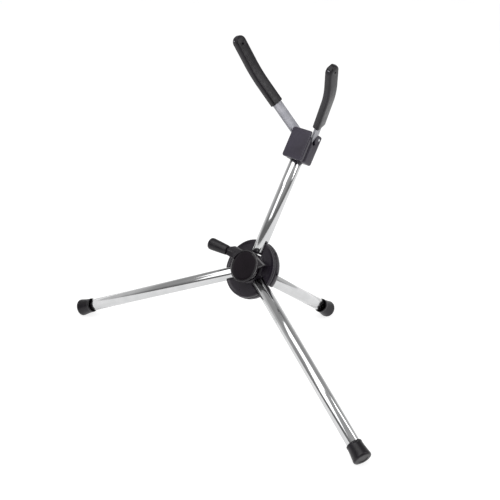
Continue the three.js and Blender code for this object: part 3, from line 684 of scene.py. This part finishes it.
def front_shell():
    """Three petals, dished inside a rounded rim, round a raised boss."""
    split = -SHELL_SPLIT
    profile = [
        (BOLT_HOLE, split),
        (HUB_RADIUS - 0.9, split),
        (HUB_RADIUS - 0.3, split + 0.35),
        (HUB_RADIUS, split + 1.0),
        (HUB_RADIUS, 1.2),
        (HUB_RADIUS - 0.15, 1.9),
        (HUB_RADIUS - 0.6, 2.6),
        (HUB_RADIUS - 1.3, 3.0),
        (HUB_RADIUS - 2.2, 3.0),
        (HUB_RADIUS - 3.0, 2.7),
        (HUB_RADIUS - 4.2, 2.1),
        (HUB_RADIUS - 6.0, 1.9),
        (20.5, 1.9),
        (19.2, 2.3),
        (18.4, 3.4),
        (17.6, 4.2),
        (16.6, 4.4),
        (BOLT_HOLE, 4.4),
        (BOLT_HOLE, split),
    ]
    piece = turned_front("hub_front_shell", profile, 120)
    cut(piece, *spoke_slots())
    soften(piece, 0.45, 3, 50)
    finished(piece, HUB, "hub", HUB_PLASTIC, "black_plastic", "hub_front_shell")


def rear_shell():
    """The thick back of the hub: a rounded cup with the rear leg's socket."""
    front = -(SHELL_SPLIT + GAP)
    outer = REAR_SHELL_RADIUS
    profile = [
        (0, -HUB_BACK),
        (12, -HUB_BACK),
        (13, -HUB_BACK + 0.5),
        (29, -HUB_BACK + 0.5),
        (30, -HUB_BACK),
        (31.6, -HUB_BACK),
        (33.4, -HUB_BACK + 0.5),
        (35.2, -HUB_BACK + 1.6),
        (36.6, -HUB_BACK + 3.1),
        (37.5, -HUB_BACK + 4.8),
        (outer, -HUB_BACK + 7),
        (outer, front - 1.2),
        (outer - 0.3, front - 0.5),
        (outer - 0.9, front),
        (0, front),
    ]
    piece = turned_front("hub_rear_shell", profile, 120)
    rear = Matrix.Rotation(REAR_TURN, 4, "X")
    socket = turned(
        "socket",
        [
            (0, 8),
            (SOCKET_RADIUS, 8),
            (SOCKET_RADIUS, SOCKET_END - 2.2),
            (SOCKET_RADIUS - 0.3, SOCKET_END - 1.2),
            (SOCKET_RADIUS - 0.3, SOCKET_END - 0.4),
            (SOCKET_RADIUS - 0.8, SOCKET_END),
            (0, SOCKET_END),
        ],
        64,
    )
    cut(piece, put(socket, rear), operation="UNION")
    bore = put(peg("bore", TUBE_RADIUS + GAP, (0, 0, 5.5), (0, 0, 60), 64), rear)
    screw_hole = peg("hole", HINGE_HOLE, (0, -6, REAR_SCREW_AT), (0, -13.5, REAR_SCREW_AT), 32)
    cutters = [bore, put(screw_hole, rear), peg("bolt_hole", BOLT_HOLE, (0, -10, 0), (0, 20, 0))]
    for turn in (0, 1, -1):
        spin = Matrix.Rotation(turn * SPOKE_STEP, 4, "Y")
        reach = 2 * HUB_RADIUS
        start = (-reach, HINGE_BEHIND, HINGE_DISTANCE)
        end = (reach, HINGE_BEHIND, HINGE_DISTANCE)
        cutters.append(put(peg("pin_hole", HINGE_HOLE, start, end, 32), spin))
    for turn in (0.5, -0.5, 1.5):
        spin = Matrix.Rotation(turn * SPOKE_STEP, 4, "Y")
        start = (0, 9.3, SHELL_SCREW_DISTANCE)
        end = (0, 20, SHELL_SCREW_DISTANCE)
        cutters.append(put(peg("recess", 3.5, start, end, 40), spin))
    cut(piece, *spoke_slots(), *cutters)
    soften(piece, 0.35, 2, 50)
    finished(piece, HUB, "hub", HUB_PLASTIC, "black_plastic", "hub_rear_shell")


def hub_screws():
    for name, turn in (("right", 0.5), ("left", -0.5), ("lower", 1.5)):
        place = (
            HUB
            @ Matrix.Rotation(turn * SPOKE_STEP, 4, "Y")
            @ Matrix.Translation((0, -1.2, SHELL_SCREW_DISTANCE))
            @ Matrix.Rotation(-math.pi / 2, 4, "X")
        )
        screw(f"hub_screw_{name}", place, "hub", 10.8, 3.2, 2.2)
    place = REAR @ Matrix.Translation((0, 0, REAR_SCREW_AT)) @ Matrix.Rotation(math.pi / 2, 4, "X")
    screw("rear_leg_screw", place @ Matrix.Translation((0, 0, 0.5)), "hub", 11.3, 3.2, 2)


# ---- clamp and knob ------------------------------------------------------------------------------


def clamp_plate():
    profile = [
        (BOLT_HOLE, 4.8),
        (16.8, 4.8),
        (17.4, 5.2),
        (18.6, 7.0),
        (18.8, 7.5),
        (18.7, 8.0),
        (18.2, 8.2),
        (BOLT_HOLE, 8.2),
        (BOLT_HOLE, 4.8),
    ]
    piece = turned_front("clamp_plate", profile, 96)
    finished(piece, HUB, "hub", GLOSS_BLACK, "black_plastic", "clamp_plate")


def knob_round():
    """The round of the knob: a waist behind, and a bead round the face."""
    rim = CAP_RADIUS + GAP
    profile = [
        (0, KNOB_BACK),
        (KNOB_RADIUS - 2.6, KNOB_BACK),
        (KNOB_RADIUS - 1.6, KNOB_BACK + 0.4),
        (KNOB_RADIUS - 1.0, KNOB_BACK + 1.2),
        (KNOB_RADIUS - 0.5, KNOB_FACE - 2.6),
        (KNOB_RADIUS - 0.1, KNOB_FACE - 1.6),
        (KNOB_RADIUS, KNOB_FACE - 0.9),
        (KNOB_RADIUS - 0.2, KNOB_FACE - 0.3),
        (KNOB_RADIUS - 0.7, KNOB_FACE),
        (KNOB_RADIUS - 1.2, KNOB_FACE - 0.05),
        (rim - 0.4, KNOB_FACE - 0.6),
        (0, KNOB_FACE - 0.6),
    ]
    return turned_front("knob_body", profile, 120)


def lever_neck():
    """Flat tapered neck between the knob and the grip, with a hump on its upper edge."""
    outline = [
        (-8, -4),
        (-7.3, 3),
        (-6.3, 12),
        (-5.4, GRIP_START - GAP),
        (5.4, GRIP_START - GAP),
        (5.9, 15.4),
        (7.0, 12.8),
        (8.3, 10.6),
        (8.8, 8.6),
        (8.7, 6),
        (8.2, 1),
        (8, -4),
    ]
    neck = front_plate("neck", outline, 3.4, -3.4)
    soften(neck, 1.2, 3, 50)
    rib = box("rib", (1.2, -4.0, 6), (2.4, -3.0, GRIP_START - GAP))
    core = peg("core", 3.6, (0, 0, 10), (0, 0, GRIP_END - 5), 32)
    cut(neck, rib, core, operation="UNION")
    return put(neck, HUB.inverted() @ LEVER)


def pointed_lug():
    """The pointed thumb lug opposite the lever, with a face that slopes down to its tip."""
    outline = [
        (6, 19),
        (11.5, 17.6),
        (29, 11.1),
        (18.6, 2.6),
        (10, 2),
    ]
    lug = front_plate("lug", outline, -KNOB_BACK - 0.1, -KNOB_BACK - 4.6)
    pick_faces(lug, lambda middle, normal: normal.y < -0.9)
    bpy.ops.mesh.inset(thickness=1.8)
    bpy.ops.transform.translate(value=(0, -1.0, 0))
    soften(lug, 0.5, 3, 25)
    return lug


def knob():
    piece = knob_round()
    cut(piece, lever_neck(), pointed_lug(), operation="UNION")
    seat = KNOB_FACE - 1.8
    cap_space = peg("cap_space", CAP_RADIUS + GAP, (0, -seat, 0), (0, -KNOB_FACE - 6, 0), 120)
    washer_room = peg("washer_room", 9.9, (0, 0, 0), (0, -9.9, 0), 64)
    nut_room = peg("nut_room", 7.5, (0, 0, 0), (0, -13.7, 0), 6)
    cut(piece, cap_space, washer_room, nut_room)
    finished(piece, HUB, "knob", KNOB_BLACK, "gloss_black", "knob_body", smooth=40)


def knob_cap():
    """The plain disc in the knob's face, very slightly crowned."""
    back = KNOB_FACE - 1.8 + GAP
    profile = [
        (0, back),
        (CAP_RADIUS, back),
        (CAP_RADIUS, KNOB_FACE - 0.8),
        (CAP_RADIUS - 0.15, KNOB_FACE - 0.5),
        (CAP_RADIUS - 0.5, KNOB_FACE - 0.3),
        (CAP_RADIUS - 4, KNOB_FACE - 0.14),
        (CAP_RADIUS - 10, KNOB_FACE - 0.04),
        (0, KNOB_FACE),
    ]
    piece = turned_front("knob_cap", profile, 120)
    finished(piece, HUB, "knob", GLOSS_BLACK, "gloss_black", "knob_cap")


def lever_grip():
    """Tapered rubber grip, thickest near its rounded end, with a blind pocket for the core."""
    profile = [
        (0, GRIP_END - 4.7),
        (3.9, GRIP_END - 4.7),
        (3.9, GRIP_START + 0.3),
        (4.3, GRIP_START),
        (5.7, GRIP_START),
        (6.1, GRIP_START + 0.4),
        (6.35, GRIP_START + 2),
        (6.8, 26),
        (7.2, 32),
        (7.5, 37),
        (7.7, 40.5),
        (7.7, 42.2),
        (7.45, 43.7),
        (6.9, 44.8),
        (6.0, 45.5),
        (4.6, 45.8),
        (2.4, 45.95),
        (0, GRIP_END),
    ]
    piece = turned("lever_grip", profile, 64)
    finished(piece, LEVER, "knob", RUBBER, "black_rubber", "lever_grip", smooth=50)


# ---- block on top of the post --------------------------------------------------------------------


def from_yoke(square, along):
    """(forward, up) of a point given square to the yoke's plane and along it."""
    return (
        -PIVOT_BACK + along * math.sin(YOKE_LEAN) + square * math.cos(YOKE_LEAN),
        PIVOT_UP + along * math.cos(YOKE_LEAN) - square * math.sin(YOKE_LEAN),
    )


def arc(centre, radius, start, end, steps):
    """Points (forward, up) round a centre."""
    angles = [start + (end - start) * i / steps for i in range(steps + 1)]
    return [
        (centre[0] + radius * math.cos(a), centre[1] + radius * math.sin(a)) for a in angles
    ]


ABOVE = BLOCK_TOP + 5
PIVOT = (-PIVOT_BACK, PIVOT_UP)
BOSS = 8.6
SWEEP = 13.6
ARM_SWEEP = 18.7
WALL_INSIDE = 12.3


def arm_notch(low, high):
    """Cutter for the space the arms leave the block through; its floor is their stop."""
    top = math.asin((BLOCK_TOP - PIVOT_UP) / BOSS)
    floor = STRIP_MIDDLE + STRIP_WIDTH / 2 + GAP
    front = -PIVOT_BACK + ARM_SWEEP
    reach = (front - from_yoke(floor, 0)[0]) / math.sin(YOKE_LEAN)
    boss = arc(PIVOT, BOSS, top, -60 * DEGREE, 12)
    points = [(boss[0][0], ABOVE), *boss, from_yoke(floor, 0), from_yoke(floor, reach)]
    return side_plate("notch", [*points, (front, ABOVE)], low, high)


def yoke_room():
    """Cutter for the hollow that the yoke's tabs swing in."""
    behind = 2.2
    start = -(math.pi / 2 + math.asin(behind / SWEEP))
    back = -PIVOT_BACK - behind
    sweep = arc(PIVOT, SWEEP, start, 0, 16)
    points = [(back, ABOVE), (back, PIVOT_UP), *sweep, (-PIVOT_BACK + SWEEP, ABOVE)]
    return side_plate("room", points, -WALL_INSIDE, WALL_INSIDE)


def block_body():
    """The block on the post: a groove in front, the post's socket and the yoke's room."""
    piece = box(
        "yoke_block", (-BLOCK_HALF, GROOVE_BACK, BLOCK_BOTTOM), (BLOCK_HALF, BLOCK_BACK, BLOCK_TOP)
    )
    soften(piece, 2.6, 6)
    groove = 1.9
    neck = box(
        "neck",
        (-BLOCK_HALF + groove, CHEEK_BACK + GAP, BLOCK_BOTTOM + groove),
        (BLOCK_HALF - groove, 0, BLOCK_TOP - 0.2),
    )
    cut(piece, neck, operation="UNION")
    socket = peg(
        "socket", TUBE_RADIUS + GAP, (0, 0, 130), (0, 0, BLOCK_BOTTOM + SOCKET_DEPTH + GAP), 64
    )
    ear_room = box("ears", (-WALL_INSIDE, PIVOT_BACK - 1, 175.2), (WALL_INSIDE, 30, ABOVE))
    pin_hole = peg("pin_hole", 2.3, (-30, PIVOT_BACK, PIVOT_UP), (30, PIVOT_BACK, PIVOT_UP), 40)
    behind = BLOCK_BACK + 8.8
    recess = peg("recess", 3.5, (0, 9.3, BLOCK_SCREW_UP), (0, behind, BLOCK_SCREW_UP), 40)
    corners = [
        peg("recess", 2.3, (x, 8.7, CHEEK_SCREW_UP), (x, behind, CHEEK_SCREW_UP), 32)
        for x in (-CHEEK_SCREW_OUT, CHEEK_SCREW_OUT)
    ]
    cut(piece, socket, yoke_room(), ear_room, arm_notch(-30, 30), pin_hole, recess, *corners)
    soften(piece, 0.4, 2, 50)
    finished(piece, HUB, "post", BLOCK_PLASTIC, "block_plastic", "yoke_block")


def block_cheek():
    """The front plate of the block, with its edges rounded over."""
    piece = box(
        "yoke_block_cheek",
        (-BLOCK_HALF, BLOCK_FRONT, BLOCK_BOTTOM),
        (BLOCK_HALF, CHEEK_BACK, BLOCK_TOP),
    )
    pick_edges(piece, lambda a, b: abs(a.y - b.y) > 1)
    bpy.ops.mesh.bevel(offset=3.0, segments=7)
    pick_edges(piece, lambda a, b: a.y < BLOCK_FRONT + 0.1 and b.y < BLOCK_FRONT + 0.1)
    bpy.ops.mesh.bevel(offset=1.7, segments=5)
    inner = 9
    cut(piece, arm_notch(inner, 30), arm_notch(-30, -inner))
    soften(piece, 0.35, 2, 50)
    finished(piece, HUB, "post", BLOCK_PLASTIC, "block_plastic", "yoke_block_cheek")


def block_screws():
    """The screw that holds the post, and the two that hold the front plate."""

    def place(x, tip, up):
        return HUB @ Matrix.Translation((x, tip, up)) @ Matrix.Rotation(-math.pi / 2, 4, "X")

    screw("yoke_block_screw", place(0, 1, BLOCK_SCREW_UP), "post", 8.6, 3.2, 1.5)
    for side, x in (("left", -CHEEK_SCREW_OUT), ("right", CHEEK_SCREW_OUT)):
        screw(f"cheek_screw_{side}", place(x, -10.6, CHEEK_SCREW_UP), "post", 19.6, 2, 1.6)


def yoke_pin():
    """The pin that the yoke turns on, with its ends just inside the block."""
    half = BLOCK_HALF - 0.6
    profile = [(0, -half), (1.6, -half), (2, -half + 0.4), (2, half - 0.4), (1.6, half), (0, half)]
    piece = turned("yoke_pin", profile, 40)
    put(piece, Matrix.Rotation(math.pi / 2, 4, "Y"))
    place = HUB @ Matrix.Translation((0, PIVOT_BACK, PIVOT_UP))
    finished(piece, place, "post", ZINC, "zinc_steel", "yoke_pin")


# ---- yoke ----------------------------------------------------------------------------------------


def arm_line(start, end, spacing=3.0):
    """Middle line of the right arm as (across, along) points between two lengths."""
    half_turn = (LOWER_SPREAD - UPPER_SPREAD) / 2
    arc_start = LOWER_LENGTH - BEND_RADIUS * math.tan(half_turn)
    arc_length = BEND_RADIUS * 2 * half_turn

    def step(point, angle, length):
        return (point[0] + length * math.sin(angle), point[1] + length * math.cos(angle))

    def place(length):
        straight = step((TAB_SPAN, TAB_TOP), LOWER_SPREAD, min(length, arc_start))
        if length <= arc_start:
            return straight
        turn = min(length - arc_start, arc_length) / BEND_RADIUS
        chord = 2 * BEND_RADIUS * math.sin(turn / 2)
        bent = step(straight, LOWER_SPREAD - turn / 2, chord)
        return step(bent, UPPER_SPREAD, max(0, length - arc_start - arc_length))

    count = max(1, round((end - start) / spacing))
    return [place(start + (end - start) * i / count) for i in range(count + 1)]


def arm_length(side):
    saved = 2 * math.tan((LOWER_SPREAD - UPPER_SPREAD) / 2) - (LOWER_SPREAD - UPPER_SPREAD)
    return LOWER_LENGTH + UPPER_LENGTH[side] - BEND_RADIUS * saved


def yoke_strip():
    """One flat steel strip bent into two arms, with round ears on the pivot."""
    halves = []
    for side in ("left", "right"):
        line = [(-2, TAB_BOTTOM), (TAB_SPAN, TAB_BOTTOM), *arm_line(0, arm_length(side), 8)]
        half = swept(f"{side}_half", STRIP_THICKNESS, STRIP_WIDTH, 0.5, line, -STRIP_MIDDLE)
        if side == "left":
            only(half)
            bpy.ops.transform.mirror(constraint_axis=(True, False, False))
            bpy.ops.object.transform_apply(location=True, rotation=True, scale=True)
            edit(half, "FACE")
            bpy.ops.mesh.select_all(action="SELECT")
            bpy.ops.mesh.normals_make_consistent(inside=False)
        halves.append(half)
    piece = cut(halves[0], halves[1], operation="UNION")
    only(piece)
    added("yoke_strip")
    spacer_room = peg("room", 4.6, (-8.9, 0, 0), (8.9, 0, 0))
    inside = TAB_SPAN - STRIP_THICKNESS / 2
    for side in (-1, 1):
        start = (side * inside, 0, 0)
        end = (side * (inside + STRIP_THICKNESS - 0.4), 0, 0)
        cut(piece, peg("ear", 4.2, start, end, 48), operation="UNION")
        far = (side * 60, 0, 0)
        cut(piece, peg("boss", 9.0, (side * 11.95, 0, 0), far, 64))
    cut(piece, spacer_room, peg("hole", 2.3, (-60, 0, 0), (60, 0, 0), 40))
    finished(piece, YOKE, "yoke", NICKEL, "yoke_steel", "yoke_strip")


def sleeve(side):
    """Rubber sleeve over one arm: a soft-edged strip with a round tip, a mouth and a hole."""
    start = SLEEVE_START[side]
    end = arm_length(side) + SLEEVE_TIP
    half = SLEEVE_WIDTH / 2
    line = arm_line(start, end - half)
    if side == "left":
        line = [(-a, b) for a, b in line]
    name = f"{side}_sleeve"
    piece = swept(name, SLEEVE_THICKNESS, SLEEVE_WIDTH, 2.4, line, -STRIP_MIDDLE)
    lean = math.atan2(line[-1][0] - line[-2][0], line[-1][1] - line[-2][1])
    direction = Vector((math.sin(lean), 0, math.cos(lean)))
    tip = Vector((line[-1][0], -STRIP_MIDDLE, line[-1][1]))
    pick_faces(
        piece,
        lambda middle, normal: normal.dot(direction) > 0.95 and (middle - tip).length < 3,
    )
    steps = 10
    height, wide, thick = 0, 1, 1
    for i in range(1, steps + 1):
        angle = math.pi / 2 * i / steps * 0.985
        rise = half * math.sin(angle)
        extrude(direction * (rise - height))
        centre = tip + direction * rise
        new_wide = max(math.cos(angle), 0.12)
        new_thick = max(math.cos(angle) ** 0.42, 0.3)
        bpy.ops.transform.rotate(value=lean, orient_axis="Y", center_override=centre)
        bpy.ops.transform.resize(
            value=(new_thick / thick, new_wide / wide, 1), center_override=centre
        )
        bpy.ops.transform.rotate(value=-lean, orient_axis="Y", center_override=centre)
        height, wide, thick = rise, new_wide, new_thick
    first = Vector((line[0][0], -STRIP_MIDDLE, line[0][1]))
    out = Vector((line[0][0] - line[1][0], 0, line[0][1] - line[1][1])).normalized()
    pick_faces(
        piece, lambda middle, normal: normal.dot(out) > 0.95 and (middle - first).length < 3
    )
    bpy.ops.mesh.inset(thickness=0.6)
    extrude(out * 0.3)
    bpy.ops.mesh.inset(thickness=1.6)
    extrude(out * -SLEEVE_MOUTH_DEPTH)
    only(piece)
    up = line[-1][1] + half * math.cos(lean) - SLEEVE_HOLE_BELOW_TIP
    beside = 130
    ends = [(x, -STRIP_MIDDLE, up) for x in (-beside, beside)]
    hole = peg("hole", SLEEVE_HOLE_RADIUS, *ends, 32)
    cut(piece, hole)
    soften(piece, 0.25, 2, 50)
    finished(piece, YOKE, "yoke", RUBBER, "black_rubber", name, smooth=50)


# ---- build ---------------------------------------------------------------------------------------

build_tubes_and_feet()
front_shell()
rear_shell()
hub_screws()
clamp_plate()
knob()
knob_cap()
lever_grip()
block_body()
block_cheek()
block_screws()
yoke_pin()
yoke_strip()
sleeve("left")
sleeve("right")

carried_over = {
    "centre_bolt": ZINC,
    "post_hinge_pin": ZINC,
    "left_leg_hinge_pin": ZINC,
    "right_leg_hinge_pin": ZINC,
    "rear_leg_plug": HUB_PLASTIC,
    "post_plug": HUB_PLASTIC,
    "knob_washer": ZINC,
    "knob_nut": BRASS,
    "yoke_spacer": ZINC,
}
for node_name, node_finish in carried_over.items():
    node = frame["nodes"][node_name]
    node.data.materials.clear()
    node.data.materials.append(node_finish)

# ---- studio --------------------------------------------------------------------------------------

VIEW_AZIMUTH = 43.84 * DEGREE
VIEW_ELEVATION = 25.86 * DEGREE
VIEW_DISTANCE = 1.31958
VIEW_ABOVE_HUB = 0.02313
VIEW_LEFT_OF_HUB = 0.001015
LENS = 76.2
SENSOR_WIDTH = 36

# (height of the direction, from -1 below to 1 above, and the brightness there)
FRONT_SKY = [(-0.1, 0.7), (0.0, 0.2), (0.2, 0.2), (0.42, 0.36), (0.7, 0.5)]
BACK_SKY = [(-0.1, 0.75), (0.3, 0.7), (0.5, 0.42)]

# (azimuth from the viewer and elevation in degrees, distance, width and height in metres, watts)
SOFTBOXES = [(-60, 74, 1.4, 1.2, 1.2, 8), (-37, 38, 1.3, 0.75, 0.8, 3.6), (72, 34, 1.3, 0.3, 0.8, 3)]
LIGHT_AIM = Vector((0, 0, 0.15))

FLOOR_SIZE = 8
FLOOR_DROP = 0.0002
FLOOR_GLOW = 0.8

sin_a, cos_a = math.sin(VIEW_AZIMUTH), math.cos(VIEW_AZIMUTH)
sin_e, cos_e = math.sin(VIEW_ELEVATION), math.cos(VIEW_ELEVATION)
towards = Vector((sin_a * cos_e, -cos_a * cos_e, sin_e))
rightwards = Vector((cos_a, sin_a, 0))
upwards = Vector((-sin_a * sin_e, cos_a * sin_e, cos_e))


def camera():
    """A camera that looks at the hub from the front right and above."""
    bpy.ops.object.camera_add()
    made = bpy.context.object
    made.data.lens = LENS
    made.data.sensor_width = SENSOR_WIDTH
    made.data.clip_start = 0.01
    turn = Matrix((rightwards, upwards, towards)).transposed().to_4x4()
    middle = hub_centre + upwards * VIEW_ABOVE_HUB - rightwards * VIEW_LEFT_OF_HUB
    made.matrix_world = Matrix.Translation(middle + towards * VIEW_DISTANCE) @ turn
    bpy.context.scene.camera = made


def softbox(azimuth, elevation, distance, width, height, power):
    """A soft rectangular light that points at the stand."""
    place = LIGHT_AIM + seen_at(azimuth, elevation).normalized() * distance
    bpy.ops.object.light_add(type="AREA", location=place)
    light = bpy.context.object
    light.data.shape = "RECTANGLE"
    light.data.size = width
    light.data.size_y = height
    light.data.energy = power
    light.rotation_euler = (LIGHT_AIM - place).to_track_quat("-Z", "Y").to_euler()


def sky_ramp(nodes, links, height, stops):
    """Brightness by height above the horizon, from (height, value) stops."""
    ramp = nodes.new("ShaderNodeValToRGB")
    elements = ramp.color_ramp.elements
    while len(elements) < len(stops):
        elements.new(0.5)
    for element, (position, value) in zip(elements, stops):
        element.position = (position + 1) / 2
        element.color = (value, value, value, 1)
    links.new(height, ramp.inputs["Fac"])
    return ramp.outputs["Color"]


def surroundings():
    """A studio that is bright behind the stand and dim at the height of the viewer."""
    world = bpy.context.scene.world or bpy.data.worlds.new("studio")
    bpy.context.scene.world = world
    world.use_nodes = True
    nodes, links = world.node_tree.nodes, world.node_tree.links
    nodes.clear()
    direction = nodes.new("ShaderNodeTexCoord").outputs["Generated"]
    split = nodes.new("ShaderNodeSeparateXYZ")
    links.new(direction, split.inputs[0])
    height = nodes.new("ShaderNodeMapRange")
    height.inputs["From Min"].default_value = -1
    links.new(split.outputs["Z"], height.inputs["Value"])
    front = sky_ramp(nodes, links, height.outputs[0], FRONT_SKY)
    back = sky_ramp(nodes, links, height.outputs[0], BACK_SKY)
    facing = nodes.new("ShaderNodeVectorMath")
    facing.operation = "DOT_PRODUCT"
    facing.inputs[1].default_value = Vector((sin_a, -cos_a, 0))
    links.new(direction, facing.inputs[0])
    side = nodes.new("ShaderNodeMapRange")
    side.interpolation_type = "SMOOTHSTEP"
    side.inputs["From Min"].default_value = -0.45
    side.inputs["From Max"].default_value = 0.35
    links.new(facing.outputs["Value"], side.inputs["Value"])
    mixed = nodes.new("ShaderNodeMix")
    mixed.data_type = "RGBA"
    links.new(side.outputs[0], mixed.inputs["Factor"])
    links.new(back, mixed.inputs[6])
    links.new(front, mixed.inputs[7])
    room = nodes.new("ShaderNodeBackground")
    links.new(mixed.outputs[2], room.inputs["Color"])
    backdrop = nodes.new("ShaderNodeBackground")
    backdrop.inputs["Color"].default_value = (1, 1, 1, 1)
    seen = nodes.new("ShaderNodeLightPath")
    choice = nodes.new("ShaderNodeMixShader")
    output = nodes.new("ShaderNodeOutputWorld")
    links.new(seen.outputs["Is Camera Ray"], choice.inputs["Fac"])
    links.new(room.outputs[0], choice.inputs[1])
    links.new(backdrop.outputs[0], choice.inputs[2])
    links.new(choice.outputs[0], output.inputs["Surface"])


def seen_at(azimuth, elevation):
    """A direction by its angle from the viewer's side and above the horizon, in degrees."""
    a = VIEW_AZIMUTH + azimuth * DEGREE
    e = elevation * DEGREE
    return Vector((math.sin(a) * math.cos(e), -math.cos(a) * math.cos(e), math.sin(e)))


def studio():
    """A pale floor that glows a little, the surroundings and the lights."""
    bpy.ops.mesh.primitive_plane_add(size=FLOOR_SIZE, location=(0, 0, -FLOOR_DROP))
    floor = added("floor")
    material, shader, place = new_finish("pale_floor", Roughness=0.9, Emission_Strength=FLOOR_GLOW)
    shader.inputs["Emission Color"].default_value = (1, 1, 1, 1)
    speckle = noise(material, place, 14, 3)
    colour = blend_colours(material, speckle, (0.36, 0.36, 0.36), (0.40, 0.40, 0.40))
    material.node_tree.links.new(colour, shader.inputs["Base Color"])
    floor.data.materials.append(material)
    surroundings()
    for light in SOFTBOXES:
        softbox(*light)
    bpy.context.scene.view_settings.view_transform = "Standard"


camera()
studio()
